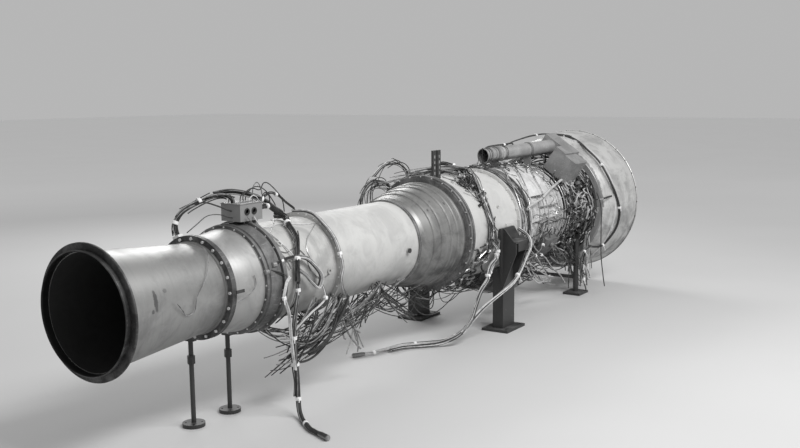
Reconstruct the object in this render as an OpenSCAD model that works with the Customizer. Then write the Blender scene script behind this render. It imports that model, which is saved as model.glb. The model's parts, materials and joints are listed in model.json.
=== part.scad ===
// A jet engine on its test supports, with a long bolted inlet duct and a flared exhaust shroud.
// Millimetres. +X runs downstream along the engine axis, +Z is up, -Y is the side with the cable runs.
// The origin is on the floor, under the middle of the machine.

/* [Inlet ducting] */
// Height of the engine axis over the floor
axis_h = 780; // [760:5:840]
// Outer radius of the mouth flange
mouth_r = 340; // [330:2:360]
// Thickness of the mouth flange
mouth_t = 12; // [8:1:18]
// Outer radius of the lip that stands ahead of the mouth flange
lip_r = 304; // [302:1:312]
// Length of the lip
lip_l = 28; // [20:1:40]
// Wall of the sheet metal ducts
duct_wall = 4; // [3:0.5:6]
// Length of the inlet cone
cone_l = 678; // [600:2:760]
// Outer radius of the inlet cone at its narrow end
cone_r = 243; // [225:1:250]
// Outer radius of the first bolted joint
joint1_r = 283; // [276:1:300]
// Thickness of each of the two rings of the first joint
joint1_t = 16; // [12:1:22]
// Bolts round the first joint
joint1_bolts = 20; // [12:1:28]
// Length of the flared spool after the first joint
spool_l = 214; // [180:2:260]
// Outer radius of the spool at its wide end
spool_r = 290; // [270:1:296]
// Length of the second joint ring
joint2_l = 149; // [120:1:180]
// Outer radius of the band of the second joint ring
joint2_r = 312; // [308:1:330]
// Bolts in each row of the second joint ring
joint2_bolts = 24; // [16:1:32]
// Length of the rake spool, which carries the probes
rake_l = 503; // [440:1:600]
// Outer radius of the rake spool and of the straight duct
duct_r = 286; // [282:1:290]
// Outer radius of the flanges between the rake spool and the straight duct
joint3_r = 313; // [306:1:325]
// Bolts between the rake spool and the straight duct
joint3_bolts = 32; // [20:1:40]
// Length of the straight duct
straight_l = 912; // [800:2:1000]
// Outer radius of the coupling between the straight duct and the bell
coupling_r = 298; // [295:1:305]
// Length of the ribbed bell
bell_l = 466; // [440:2:500]
// Outer radius of the ribbed bell at its wide end
bell_r = 378; // [370:1:384]
// Height of the ribs rolled into the bell
rib_h = 7; // [4:1:10]
// Outer radius of the dark joint ring behind the bell
joint4_r = 428; // [424:1:440]
// Length of the dark joint ring
joint4_l = 64; // [54:1:80]
// Bolts through the dark joint ring
joint4_bolts = 28; // [20:1:36]
// Length of the duct in front of the engine
engine_duct_l = 730; // [680:2:800]
// Outer radius of the duct in front of the engine
engine_duct_r = 402; // [398:1:406]

/* [Engine] */
// Outer radius of the flange at the front of the engine
front_flange_r = 425; // [420:1:440]
// Bolts through the front flange of the engine
front_bolts = 30; // [20:1:40]
// Length of the front frame
frame_l = 200; // [190:1:240]
// Thickness of the struts in the front frame
strut_t = 26; // [18:1:34]
// Radius of the nose bullet and of the hub behind it
hub_r = 130; // [115:1:145]
// Length of the nose bullet
nose_l = 150; // [120:2:200]
// Length of the compressor casing
comp_l = 694; // [650:2:740]
// Outer radius of the rear part of the compressor casing
comp_r = 361; // [358:1:368]
// Wall of the compressor casing
comp_wall = 12; // [9:1:15]
// Stages of the compressor
stages = 5; // [3:1:6]
// Blades in each rotor stage
blades = 18; // [12:1:22]
// Vanes in each fixed row
vanes = 18; // [12:1:22]
// Gap between the rotor blades and the casing
tip_gap = 3; // [1.5:0.5:5]
// Radius of the main shaft
shaft_r = 50; // [44:1:54]
// Running clearance between the inner and outer bearing rings
bearing_clearance = 0.04; // [0.02:0.01:0.08]
// Length of the combustor casing
burner_l = 306; // [280:2:340]
// Fuel nozzles round the combustor
fuel_nozzles = 12; // [8:1:14]
// Length of the turbine casing
turbine_l = 180; // [170:1:210]
// Blades of the turbine
turbine_blades = 30; // [20:1:36]
// Length of the tail pipe
tail_l = 420; // [380:2:460]

/* [Exhaust shroud] */
// Gap between the turbine casing and the front edge of the shroud
shroud_gap = 10; // [0:1:30]
// Outer radius of the shroud at its front edge
shroud_front_r = 538; // [530:1:550]
// Length of the front part of the shroud
shroud_front_l = 156; // [140:1:170]
// Outer radius of the shroud under its clamp band
shroud_band_r = 606; // [600:1:612]
// Length of the rear part of the shroud
shroud_rear_l = 440; // [400:2:480]
// Outer radius of the shroud at its rim
shroud_rim_r = 653; // [640:1:660]
// Radius of the rolled rim
rim_bead_r = 6; // [4:0.5:9]
// Sheet of the shroud
shroud_wall = 4; // [3:0.5:6]

/* [Attached equipment] */
// Diameter of the cooling air tube over the engine
air_tube_d = 120; // [100:2:130]
// Length of the cooling air tube
air_tube_l = 870; // [760:5:900]
// Height of the cooling air tube over the engine axis
air_tube_h = 506; // [500:1:515]
// Size of the junction box: length, width, height
junction_box = [180, 142, 96];
// Radius of the thick cable bundles
bundle_r = 16; // [10:1:20]

/* [Supports] */
// Half the distance between the two pedestals
pedestal_y = 386; // [384:1:400]
// Width of the pedestal column across the engine
pedestal_w = 88; // [80:2:90]
// Length of the pedestal column along the engine
pedestal_l = 190; // [150:2:220]
// Height of the pedestal ledge over the floor
ledge_h = 692; // [680:2:700]
// Half the distance between the legs of the rear trestle
trestle_y = 350; // [340:2:370]
// Radius of the trestle legs
leg_r = 24; // [18:1:28]
// Radius of the slim jack posts under the duct
post_r = 13; // [10:0.5:16]
// Sideways place of the jack posts
post_y = 55; // [40:1:60]
// Thickness of all foot plates
foot_t = 20; // [14:1:26]
// Radius of the bolt holes in the foot plates
foot_hole_r = 9; // [7:0.5:11]

/* [Hidden] */

// Clearance between pieces that seat on each other
seat = 0.3;
// Clearance of a bolt shank in its hole
bolt_play = 0.5;
big_fn = 96;
small_fn = 24;

x_joint1 = mouth_t + cone_l;
x_spool = x_joint1 + 2 * joint1_t;
x_joint2 = x_spool + spool_l;
x_rake = x_joint2 + joint2_l;
x_joint3 = x_rake + rake_l;
x_coupling = x_joint3 + straight_l;
x_joint4 = x_coupling + bell_l;
x_engine_duct = x_joint4 + joint4_l;
x_front = x_engine_duct + engine_duct_l;
x_comp = x_front + frame_l;
x_burner = x_comp + comp_l;
x_turbine = x_burner + burner_l;
x_tail = x_turbine + turbine_l;
x_shroud = x_tail + shroud_gap;
x_band = x_shroud + shroud_front_l;
x_rim = x_band + shroud_rear_l;
mid_x = (x_rim + rim_bead_r - lip_l) / 2;
floor_z = -axis_h;

// Steps of the thin flanges
flange_t = 8;
case_flange_t = 12;
frame_flange_t = 15;
bolt_r = 5;
small_bolt_r = 3;
case_front_r = comp_r + 35;
case_flange_r = comp_r + 24;
x_case_step = x_comp + 280;
bearing_front_x = x_comp - 90;
bearing_rear_x = x_turbine + 12;
bearing_l = 30;
race_t = 14;
race_gap_r = shaft_r + race_t + seat;
outer_race_r = race_gap_r + bearing_clearance + race_t;
burner_r = comp_r - 11;
turbine_r = burner_r + 2;
post_1_x = x_joint1 + joint1_t;
post_2_x = x_rake - 95;
trestle_x = x_turbine + 75;
ledge_z = ledge_h - axis_h;

// Outer radius of the compressor casing at a station
function case_r(x) = x > x_case_step ? comp_r
    : case_front_r + (comp_r - case_front_r) * (x - x_comp) / (x_case_step - x_comp);
// Outer radius of the compressor drum at a station
function drum_r(x) = 190 + 75 * (x - x_comp) / comp_l;
// Outer radius of the inlet cone at a station
function cone_at(x) = lip_r - 7 + (cone_r - lip_r + 7) * (x - mouth_t) / (cone_l - 14);

// Sweep of a round bundle along a route
function unit(v) = v / norm(v);
function carry(n, t) = unit(n - (n * t) * t);
function normals(ts, n, i = 0) = i == len(ts) ? []
    : let (m = carry(n, ts[i])) concat([m], normals(ts, m, i + 1));
function clamp_index(i, n) = min(max(i, 0), n - 1);
function spline(p, a, b, c, t) = 0.5 * (2 * a + (b - p) * t + (2 * p - 5 * a + 4 * b - c) * t * t
    + (3 * a - p - 3 * b + c) * t * t * t);
function smooth(route, steps) = let (n = len(route)) concat(
    [for (i = [0:n - 2], k = [0:steps - 1])
        spline(route[clamp_index(i - 1, n)], route[i], route[i + 1], route[clamp_index(i + 2, n)], k / steps)],
    [route[n - 1]]);
function tangents(p) = let (n = len(p))
    [for (i = [0:n - 1]) unit(p[clamp_index(i + 1, n)] - p[clamp_index(i - 1, n)])];

module bundle(route, r, steps = 2, sides = 8, start_normal = [1, 0.2, 0.1]) {
    p = smooth(route, steps);
    t = tangents(p);
    n = normals(t, start_normal);
    rings = len(p);
    points = [for (i = [0:rings - 1], k = [0:sides - 1])
        p[i] + r * (cos(360 * k / sides) * n[i] + sin(360 * k / sides) * cross(t[i], n[i]))];
    walls = [for (i = [0:rings - 2], k = [0:sides - 1], h = [0, 1]) let (j = (k + 1) % sides) h == 0
        ? [i * sides + k, (i + 1) * sides + k, i * sides + j]
        : [(i + 1) * sides + k, (i + 1) * sides + j, i * sides + j]];
    first = [for (k = [0:sides - 1]) k];
    last = [for (k = [0:sides - 1]) (rings - 1) * sides + sides - 1 - k];
    polyhedron(points = points, faces = concat(walls, [first], [last]));
}

// Puts a module written from the mouth plane and the engine axis into the frame of the machine
module from_axis() {
    translate([-mid_x, 0, axis_h]) children();
}

// Turns an outline of [radius, station] pairs about the engine axis
module turned(outline) {
    rotate([0, 90, 0]) rotate_extrude($fn = big_fn) polygon(outline);
}

// Sweeps an outline of [radius, station] round the axis between two angles counted as in on_ring
module arc_x(a0, a1) {
    rotate([0, 90, 0]) rotate([0, 0, 270 - a1]) rotate_extrude(angle = a1 - a0, $fn = big_fn) children();
}

module tube_x(x, l, r_out, r_in) {
    turned([[r_in, x], [r_out, x], [r_out, x + l], [r_in, x + l]]);
}

// Local Z points outward at an angle that counts from the near side upward, local X downstream
module on_ring(x, r, a) {
    translate([x, 0, 0]) rotate([90 - a, 0, 0]) translate([0, 0, r]) children();
}

module rod_x(x, l, r, fn = small_fn) {
    translate([x, 0, 0]) rotate([0, 90, 0]) cylinder(r = r, h = l, $fn = fn);
}

module around(n, x, r, a0 = 0) {
    for (i = [0:n - 1]) on_ring(x, r, a0 + i * 360 / n) children();
}

// Bolt along X: head ahead of the joint, nut behind it
module joint_bolt(grip, r, head = 1.8) {
    rod_x(-r * 1.3, r * 1.3, r * head, 6);
    rod_x(-0.2, grip + 0.4, r);
    rod_x(grip, r * 1.5, r * head, 6);
}

module bolt_holes(n, x, r, l, hole, a0 = 0) {
    around(n, x - 1, r, a0) rod_x(0, l + 2, hole);
}

module mouth_ring() {
    color([0.12, 0.12, 0.12]) from_axis() turned([
        [lip_r - 7, -lip_l + 7], [lip_r - 5, -lip_l + 2], [lip_r - 3, -lip_l], [lip_r, -lip_l],
        [lip_r + 3, -lip_l + 3], [lip_r + 3, -lip_l + 8], [lip_r, -lip_l + 12], [lip_r, 0],
        [mouth_r - 3, 0], [mouth_r, 3], [mouth_r, mouth_t], [lip_r - 7, mouth_t]]);
}

module inlet_cone() {
    inner = duct_wall;
    collar_r = cone_r + 9;
    color([0.72, 0.72, 0.72]) from_axis() turned([
        [lip_r - 7, mouth_t], [cone_r, x_joint1 - 14], [collar_r, x_joint1 - 12], [collar_r, x_joint1],
        [cone_r, x_joint1], [cone_r, x_joint1 + joint1_t],
        [cone_r - inner, x_joint1 + joint1_t], [cone_r - inner, x_joint1 - 14], [lip_r - 7 - inner, mouth_t]]);
}

module joint_1_rings() {
    bolt_circle = joint1_r - 17;
    color([0.2, 0.2, 0.2]) from_axis() {
        for (x = [x_joint1, x_joint1 + joint1_t]) difference() {
            tube_x(x, joint1_t, joint1_r, cone_r + seat);
            bolt_holes(joint1_bolts, x, bolt_circle, joint1_t, bolt_r + bolt_play);
        }
    }
}

module joint_1_bolts() {
    color([0.9, 0.9, 0.9]) from_axis()
        around(joint1_bolts, x_joint1, joint1_r - 17) joint_bolt(2 * joint1_t, bolt_r);
}

module flared_spool() {
    color([0.75, 0.75, 0.76]) from_axis() turned([
        [cone_r - duct_wall, x_joint1 + joint1_t], [cone_r, x_joint1 + joint1_t], [cone_r, x_spool],
        [cone_r + 12, x_spool + 4], [cone_r + 21, x_spool + 18], [spool_r - 2, x_joint2 - 8],
        [spool_r, x_joint2 - 6], [spool_r, x_joint2],
        [spool_r - duct_wall - 2, x_joint2], [spool_r - duct_wall - 2, x_joint2 - 8],
        [cone_r + 21 - duct_wall, x_spool + 20], [cone_r + 10 - duct_wall, x_spool + 8],
        [cone_r - duct_wall, x_spool]]);
}

// The ring has a slim front flange, a wide plain band and a thick rear flange
joint2_front_t = 16;
joint2_rear_t = 27;
joint2_in_r = duct_r - 2;
joint2_rear_r = joint2_r + 12;
joint2_row_1 = joint2_r - 14;
joint2_row_2 = joint2_r;
joint3_row = joint3_r - 9;
module joint_2_ring() {
    waist = joint2_r - 8;
    color([0.25, 0.25, 0.25]) from_axis() difference() {
        turned([[joint2_in_r, x_joint2], [joint2_r - 5, x_joint2], [joint2_r - 5, x_joint2 + joint2_front_t],
            [waist, x_joint2 + joint2_front_t], [waist, x_joint2 + joint2_front_t + 8],
            [joint2_r, x_joint2 + joint2_front_t + 12], [joint2_r, x_rake - joint2_rear_t - 6],
            [waist, x_rake - joint2_rear_t - 4], [waist, x_rake - joint2_rear_t],
            [joint2_rear_r, x_rake - joint2_rear_t], [joint2_rear_r, x_rake], [duct_r + seat, x_rake],
            [duct_r + seat, x_rake - joint2_rear_t], [joint2_in_r, x_rake - joint2_rear_t]]);
        bolt_holes(joint2_bolts, x_joint2, joint2_row_1, 10, small_bolt_r + bolt_play);
        bolt_holes(joint2_bolts, x_rake - joint2_rear_t, joint2_row_2, 14, small_bolt_r + bolt_play, 7);
    }
}

module cap_screw(r, l) {
    rod_x(-r, r, r * 1.7, 12);
    rod_x(-0.2, l, r);
}

// Ports of the rake spool: [length along the spool, angle]
rake_ports = [[60, 42], [95, 22], [415, -2], [250, 118], [250, 200], [120, 262]];
port_r = 17;
port_h = 9;
module rake_spool() {
    x0 = x_rake - joint2_rear_t;
    color([0.78, 0.78, 0.78]) from_axis() difference() {
        union() {
            turned([[duct_r - duct_wall, x0], [duct_r, x0], [duct_r, x_joint3 - flange_t],
                [joint3_r, x_joint3 - flange_t], [joint3_r, x_joint3], [duct_r - duct_wall, x_joint3]]);
            for (p = rake_ports) on_ring(x_rake + p[0], duct_r - 3, p[1])
                cylinder(r = port_r, h = port_h + 3, $fn = small_fn);
        }
        for (p = rake_ports) on_ring(x_rake + p[0], duct_r, p[1])
            cylinder(r = port_r - 8, h = port_h + 1, $fn = small_fn);
        bolt_holes(joint3_bolts, x_joint3 - flange_t, joint3_row, flange_t, small_bolt_r + bolt_play);
    }
}

module straight_duct() {
    color([0.85, 0.85, 0.85]) from_axis() difference() {
        union() {
            turned([[duct_r - duct_wall, x_joint3], [joint3_r, x_joint3], [joint3_r, x_joint3 + flange_t],
                [duct_r, x_joint3 + flange_t], [duct_r, x_coupling], [duct_r - duct_wall, x_coupling]]);
            on_ring(x_coupling - 149, duct_r - 3, -1.7) cylinder(r = port_r, h = 8, $fn = small_fn);
        }
        on_ring(x_coupling - 149, duct_r, -1.7) cylinder(r = port_r - 6, h = 12, $fn = small_fn);
        bolt_holes(joint3_bolts, x_joint3, joint3_row, flange_t, small_bolt_r + bolt_play);
    }
}

module coupling_ring() {
    in_r = duct_r + seat;
    half = 12;
    color([0.45, 0.45, 0.45]) from_axis() turned([
        [in_r, x_coupling - half], [coupling_r, x_coupling - half], [coupling_r, x_coupling - 3],
        [coupling_r - 7, x_coupling - 2], [coupling_r - 7, x_coupling + 3], [coupling_r, x_coupling + 4],
        [coupling_r, x_coupling + half], [in_r, x_coupling + half]]);
}

// Stations along the bell as a share of its length, with the share of its rise reached there
bell_curve = [[0.035, 0], [0.11, 0.2], [0.22, 0.34], [0.34, 0.5], [0.5, 0.66], [0.65, 0.79],
    [0.82, 0.92], [1, 1]];
bell_ribs = [0.28, 0.44, 0.65, 0.8, 0.93];
function bell_x(s) = x_coupling + s * bell_l;
function bell_at(s) = duct_r + (bell_r - duct_r) * lookup(s, concat([[0, 0]], bell_curve));
module ribbed_bell() {
    outer = concat([[duct_r, x_coupling]], [for (p = bell_curve) [duct_r + (bell_r - duct_r) * p[1], bell_x(p[0])]]);
    inner = [for (i = [len(outer) - 1:-1:0]) [outer[i][0] - duct_wall, outer[i][1]]];
    color([0.5, 0.5, 0.5]) from_axis() union() {
        turned(concat(outer, inner));
        for (s = bell_ribs) let (x = bell_x(s), r = bell_at(s), w = 12 / bell_l)
            turned([[bell_at(s - w) - 2, x - 12], [r + rib_h - 2, x - 6], [r + rib_h, x],
                [r + rib_h + 2, x + 6], [bell_at(s + w) - 2, x + 12]]);
    }
}

joint4_row = joint4_r - 8;
module joint_4_ring() {
    front_in = bell_r - duct_wall;
    rear_in = engine_duct_r - duct_wall;
    x0 = x_joint4;
    x1 = x_engine_duct;
    color([0.22, 0.22, 0.22]) from_axis() difference() {
        turned([[front_in, x0], [joint4_r - 16, x0], [joint4_r - 16, x0 + 8], [joint4_r - 2, x0 + 8],
            [joint4_r, x0 + 11], [joint4_r, x0 + 26], [joint4_r - 12, x0 + 29], [joint4_r - 12, x0 + 37],
            [joint4_r, x0 + 40], [joint4_r, x1 - 3], [joint4_r - 3, x1], [rear_in, x1]]);
        bolt_holes(joint4_bolts, x0 + 8, joint4_row, 14, small_bolt_r + bolt_play);
    }
}

module joint_screws() {
    color([0.65, 0.65, 0.65]) from_axis() {
        around(joint2_bolts, x_joint2, joint2_row_1) cap_screw(small_bolt_r, 9);
        around(joint2_bolts, x_rake - joint2_rear_t, joint2_row_2, 7) cap_screw(small_bolt_r, 12);
        around(joint3_bolts, x_joint3 - flange_t, joint3_row) cap_screw(small_bolt_r, 2 * flange_t - 1);
        around(joint4_bolts, x_joint4 + 8, joint4_row) cap_screw(small_bolt_r, 12);
    }
}

duct_stud = [440, 25];
module engine_duct() {
    color([0.85, 0.85, 0.85]) from_axis() difference() {
        union() {
            turned([[engine_duct_r - duct_wall, x_engine_duct], [engine_duct_r + 12, x_engine_duct],
                [engine_duct_r + 12, x_engine_duct + 8], [engine_duct_r, x_engine_duct + 8],
                [engine_duct_r, x_front - frame_flange_t], [front_flange_r, x_front - frame_flange_t],
                [front_flange_r, x_front], [engine_duct_r - duct_wall, x_front]]);
            on_ring(x_engine_duct + duct_stud[0], engine_duct_r - 3, duct_stud[1])
                cylinder(r = 8, h = 26, $fn = small_fn);
            for (a = [0, 180]) on_ring(x_front - 220, engine_duct_r - 3, a) translate([0, -35, 0])
                cube([150, 70, duct_pad - engine_duct_r + 3]);
        }
        bolt_holes(front_bolts, x_front - frame_flange_t, front_flange_r - 11, frame_flange_t,
            small_bolt_r + 1 + bolt_play, 6);
    }
}

module front_bolts() {
    color([0.65, 0.65, 0.65]) from_axis() around(front_bolts, x_front - frame_flange_t, front_flange_r - 11, 6)
        joint_bolt(2 * frame_flange_t, small_bolt_r + 1, 1.7);
}

frame_in_r = case_front_r - 12;
module front_frame() {
    struts = 6;
    x0 = x_front;
    chord = 110;
    color([0.6, 0.6, 0.58]) from_axis() difference() {
        union() {
            turned([[frame_in_r, x0], [front_flange_r, x0], [front_flange_r, x0 + frame_flange_t],
                [case_front_r + 4, x0 + frame_flange_t], [case_front_r + 4, x_comp - case_flange_t],
                [case_front_r + 24, x_comp - case_flange_t], [case_front_r + 24, x_comp], [frame_in_r, x_comp]]);
            turned([[outer_race_r + seat, nose_back + seat], [hub_r, nose_back + seat], [hub_r + 8, x0 + 110],
                [hub_r + 18, x_comp - 10], [outer_race_r + seat, x_comp - 10]]);
            around(struts, x0 + 30, hub_r - 6, 30) translate([0, -strut_t / 2, 0])
                cube([chord, strut_t, frame_in_r - hub_r + 8]);
            around(struts, x0 + 30, hub_r - 6, 30)
                cylinder(r = strut_t / 2, h = frame_in_r - hub_r + 8, $fn = small_fn);
        }
        bolt_holes(front_bolts, x0, front_flange_r - 11, frame_flange_t, small_bolt_r + 1 + bolt_play, 6);
    }
}

nose_back = x_front + 16;
module nose_bullet() {
    steps = 8;
    x1 = nose_back;
    outline = [for (i = [0:steps]) [hub_r * sin(90 * i / steps), x1 - nose_l * cos(90 * i / steps)]];
    color([0.7, 0.7, 0.7]) from_axis() turned(concat(outline, [[hub_r - 5, x1], [0, x1]]));
}

module vane_ring(x, l, r_out, r_in, n, chord, t, angle) {
    shroud = 5;
    turned([[r_out - shroud, x], [r_out, x], [r_out, x + l], [r_out - shroud, x + l]]);
    turned([[r_in, x], [r_in + shroud, x], [r_in + shroud, x + l], [r_in, x + l]]);
    around(n, x + l / 2, r_in + shroud - 2) rotate([0, 0, angle]) translate([-chord / 2, -t / 2, 0])
        cube([chord, t, r_out - r_in - 2 * shroud + 4]);
}

module inlet_guide_vanes() {
    l = 44;
    color([0.6, 0.6, 0.62]) from_axis()
        vane_ring(x_comp - l - 6, l, frame_in_r - seat, hub_r + 20, vanes, l - 6, 4, 12);
}

// Fixed vane bosses on the casing: rows along the engine at these angles, one boss for each stage
stage_pitch = comp_l / stages;
boss_angles = [12, -10, 34, -32, 146, 168, 190, 212, 78, 102];
case_seam = 22;
module compressor_case(side) {
    x0 = x_comp + case_flange_t;
    x1 = x_burner - case_flange_t;
    // The lower half is the upper one turned over, so its angles count from the far side
    own = [for (a = boss_angles) if (side > 0 ? (a > 5 && a < 175) : (a < -5 || a > 185)) side > 0 ? a : a + 180];
    rotate([side > 0 ? 0 : 180, 0, 0]) difference() {
        union() {
            intersection() {
                turned([[case_front_r - comp_wall, x_comp], [case_front_r + 24, x_comp],
                    [case_front_r + 24, x0], [case_r(x0), x0], [comp_r, x_case_step], [comp_r, x1],
                    [case_flange_r, x1], [case_flange_r, x_burner], [comp_r - comp_wall, x_burner],
                    [comp_r - comp_wall, x_case_step]]);
                translate([x_comp - 1, -600, 0]) cube([comp_l + 2, 1200, 600]);
            }
            for (s = [-1, 1]) linear_extrude(height = case_flange_t) polygon([
                [x0, s * (case_r(x0) - 4)], [x_case_step, s * (comp_r - 4)], [x1, s * (comp_r - 4)],
                [x1, s * (comp_r + case_seam)], [x_case_step, s * (comp_r + case_seam)],
                [x0, s * (case_r(x0) + case_seam)]]);
            for (k = [0:stages - 1], a = own) let (x = x_comp + (k + 0.72) * stage_pitch)
                on_ring(x, case_r(x) - 4, a) cylinder(r = 8, h = 12, $fn = 6);
        }
        for (s = [-1, 1], k = [0:seam_bolts - 1])
            translate([seam_bolt_x(k), s * (comp_r + case_seam / 2 + 1), -1])
                cylinder(r = small_bolt_r + 1 + bolt_play, h = case_flange_t + 2, $fn = small_fn);
    }
}
seam_bolts = 9;
function seam_bolt_x(k) = x_case_step + 20 + k * (x_burner - x_case_step - 60) / (seam_bolts - 1);

module compressor_case_upper() {
    color([0.82, 0.82, 0.8]) from_axis() compressor_case(1);
}

module compressor_case_lower() {
    color([0.8, 0.8, 0.78]) from_axis() compressor_case(-1);
}

module case_bolts() {
    r = small_bolt_r + 1;
    color([0.4, 0.4, 0.4]) from_axis() for (s = [-1, 1], k = [0:seam_bolts - 1])
        translate([seam_bolt_x(k), s * (comp_r + case_seam / 2 + 1), 0]) {
            translate([0, 0, case_flange_t]) cylinder(r = r * 1.7, h = 6, $fn = 6);
            translate([0, 0, -case_flange_t - 0.2]) cylinder(r = r, h = 2 * case_flange_t + 0.4, $fn = small_fn);
            translate([0, 0, -case_flange_t - 6]) cylinder(r = r * 1.7, h = 6, $fn = 6);
        }
}

stator_l = 40;
blade_chord = 52;
module stator_rings() {
    color([0.6, 0.6, 0.62]) from_axis() for (k = [0:stages - 1])
        let (x = x_comp + (k + 0.72) * stage_pitch - stator_l / 2,
            r_out = min(case_r(x), case_r(x + stator_l)) - comp_wall - seat, r_in = drum_r(x + stator_l) + 4)
            vane_ring(x, stator_l, r_out, r_in, vanes, stator_l - 8, 4, -28);
}

module top_fairing() {
    a0 = 28;
    a1 = 152;
    x0 = x_comp + 40;
    l = 440;
    r0 = case_front_r + 4;
    color([0.9, 0.9, 0.9]) from_axis() arc_x(a0, a1)
            polygon([[r0, x0], [r0 + 3, x0], [r0 + 3, x0 + l - 8], [r0 + 9, x0 + l - 8], [r0 + 9, x0 + l],
                [case_r(x0 + l) + seat, x0 + l], [case_r(x0 + l) + seat, x0 + l - 5], [r0, x0 + l - 5]]);
}

module main_shaft() {
    x0 = bearing_front_x - 12;
    color([0.55, 0.55, 0.57]) from_axis() turned([[0, x0], [shaft_r - 4, x0], [shaft_r, x0 + 4],
        [shaft_r, x_turbine + 56], [0, x_turbine + 56]]);
}

module compressor_rotor() {
    x0 = x_comp + 14;
    x1 = x_burner - 20;
    skin = 14;
    bore = shaft_r + 0.05;
    color([0.5, 0.5, 0.55]) from_axis() union() {
        turned([[bore, x0], [drum_r(x0), x0], [drum_r(x1), x1], [bore, x1], [bore, x1 - 16],
            [drum_r(x1 - 16) - skin, x1 - 16], [drum_r(x0 + 16) - skin, x0 + 16], [bore, x0 + 16]]);
        for (k = [0:stages - 1]) let (x = x_comp + (k + 0.3) * stage_pitch,
            tip = case_r(x + blade_chord / 2) - comp_wall - tip_gap, root = drum_r(x) - 5)
            around(blades, x, root, k * 7) rotate([0, 0, 38]) translate([-blade_chord / 2, -2.5, 0])
                cube([blade_chord, 5, tip - root]);
    }
}

module turbine_rotor() {
    x0 = x_turbine + 56;
    disc_r = 215;
    tip = turbine_r - comp_wall - tip_gap;
    color([0.4, 0.38, 0.36]) from_axis() union() {
        turned([[0, x0], [shaft_r + 20, x0], [shaft_r + 24, x0 + 14], [disc_r - 30, x0 + 18], [disc_r, x0 + 6],
            [disc_r, x0 + 50], [disc_r - 30, x0 + 36], [shaft_r + 10, x0 + 42], [0, x0 + 46]]);
        around(turbine_blades, x0 + 28, disc_r - 5) rotate([0, 0, 48]) translate([-24, -4, 0])
            cube([48, 8, tip - disc_r + 5]);
    }
}

module bearing_inner_rings() {
    color([0.8, 0.8, 0.82]) from_axis() for (x = [bearing_front_x, bearing_rear_x])
        tube_x(x, bearing_l, race_gap_r, shaft_r + 0.05);
}

module bearing_outer_rings() {
    color([0.8, 0.8, 0.82]) from_axis() for (x = [bearing_front_x, bearing_rear_x])
        tube_x(x, bearing_l, outer_race_r, race_gap_r + bearing_clearance);
}

nozzle_x = x_burner + 46;
module combustor_case() {
    color([0.35, 0.33, 0.32]) from_axis() difference() {
        turned([[burner_r - 8, x_burner], [case_flange_r, x_burner], [case_flange_r, x_burner + case_flange_t],
            [burner_r, x_burner + case_flange_t], [burner_r, x_turbine - case_flange_t],
            [case_flange_r, x_turbine - case_flange_t], [case_flange_r, x_turbine], [burner_r - 8, x_turbine]]);
        around(fuel_nozzles, nozzle_x, burner_r - 20, 6) cylinder(r = 9, h = 40, $fn = small_fn);
    }
}

module combustion_liner() {
    r0 = burner_r - 22;
    r1 = 205;
    t = 3;
    x0 = x_burner + 70;
    x1 = x_turbine - 2;
    color([0.45, 0.4, 0.36]) from_axis() turned([[r1, x0 + 20], [r1 + 22, x0], [r0 - 22, x0], [r0, x0 + 20],
        [r0, x1 - 12], [burner_r - 8 - seat, x1 - 10], [burner_r - 8 - seat, x1 - 4], [r0 - t, x1 - 4],
        [r0 - t, x0 + 22], [r0 - 24, x0 + t], [r1 + 24, x0 + t], [r1 + t, x0 + 22], [r1 + t, x1], [r1, x1]]);
}

manifold_r = burner_r + 34;
module fuel_manifold() {
    color([0.7, 0.7, 0.7]) from_axis() {
        rotate([0, 90, 0]) translate([0, 0, nozzle_x]) rotate_extrude($fn = big_fn)
            translate([manifold_r, 0]) circle(r = 8, $fn = small_fn);
        around(fuel_nozzles, nozzle_x, burner_r - 16, 6) {
            cylinder(r = 8, h = manifold_r - burner_r + 16, $fn = small_fn);
            translate([0, 0, 16 + seat]) cylinder(r = 14, h = 8, $fn = 6);
        }
    }
}

// Pipes that run round the hot section: [station behind the compressor, radius, pipe radius, first and last angle]
pipe_arcs = [[96, 382, 9, -70, 250], [150, 392, 7, -60, 120], [196, 378, 11, -80, 200], [232, 400, 6, -50, 80],
    [262, 386, 8, -75, 160]];
module ring_pipes() {
    color([0.5, 0.5, 0.5]) from_axis() for (p = pipe_arcs) {
        translate([x_burner + p[0], 0, 0]) arc_x(p[3], p[4])
            translate([p[1], 0]) circle(r = p[2], $fn = small_fn);
        for (a = [p[3] + 4, (p[3] + p[4]) / 2, p[4] - 4]) on_ring(x_burner + p[0], burner_r + seat, a)
            translate([-7, -10, 0]) cube([14, 20, p[1] - burner_r - seat]);
    }
}

module turbine_nozzle() {
    x0 = x_turbine;
    l = 42;
    r_out = turbine_r - comp_wall - seat;
    color([0.45, 0.42, 0.38]) from_axis() union() {
        vane_ring(x0, l, r_out, 210, 24, 36, 6, -35);
        turned([[outer_race_r + seat, x0 + 4], [outer_race_r + 12, x0 + 4], [outer_race_r + 12, x0 + 16],
            [212, x0 + 20], [212, x0 + 30], [outer_race_r + 12, x0 + 30], [outer_race_r + 12, x0 + l],
            [outer_race_r + seat, x0 + l]]);
    }
}

module turbine_case() {
    color([0.4, 0.38, 0.36]) from_axis() turned([[turbine_r - comp_wall, x_turbine], [case_flange_r, x_turbine],
        [case_flange_r, x_turbine + case_flange_t], [turbine_r, x_turbine + case_flange_t],
        [turbine_r, x_tail - case_flange_t], [case_flange_r, x_tail - case_flange_t], [case_flange_r, x_tail],
        [turbine_r - comp_wall, x_tail]]);
}

module tail_pipe() {
    x0 = x_tail;
    x1 = x_tail + tail_l;
    wall = 5;
    r1 = turbine_r - 28;
    color([0.3, 0.28, 0.27]) from_axis()
        turned([[turbine_r - comp_wall, x0], [case_flange_r, x0], [case_flange_r, x0 + 10], [turbine_r - 4, x0 + 12],
            [r1, x1], [r1 - wall, x1], [turbine_r - comp_wall, x0 + 14]]);
}

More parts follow.
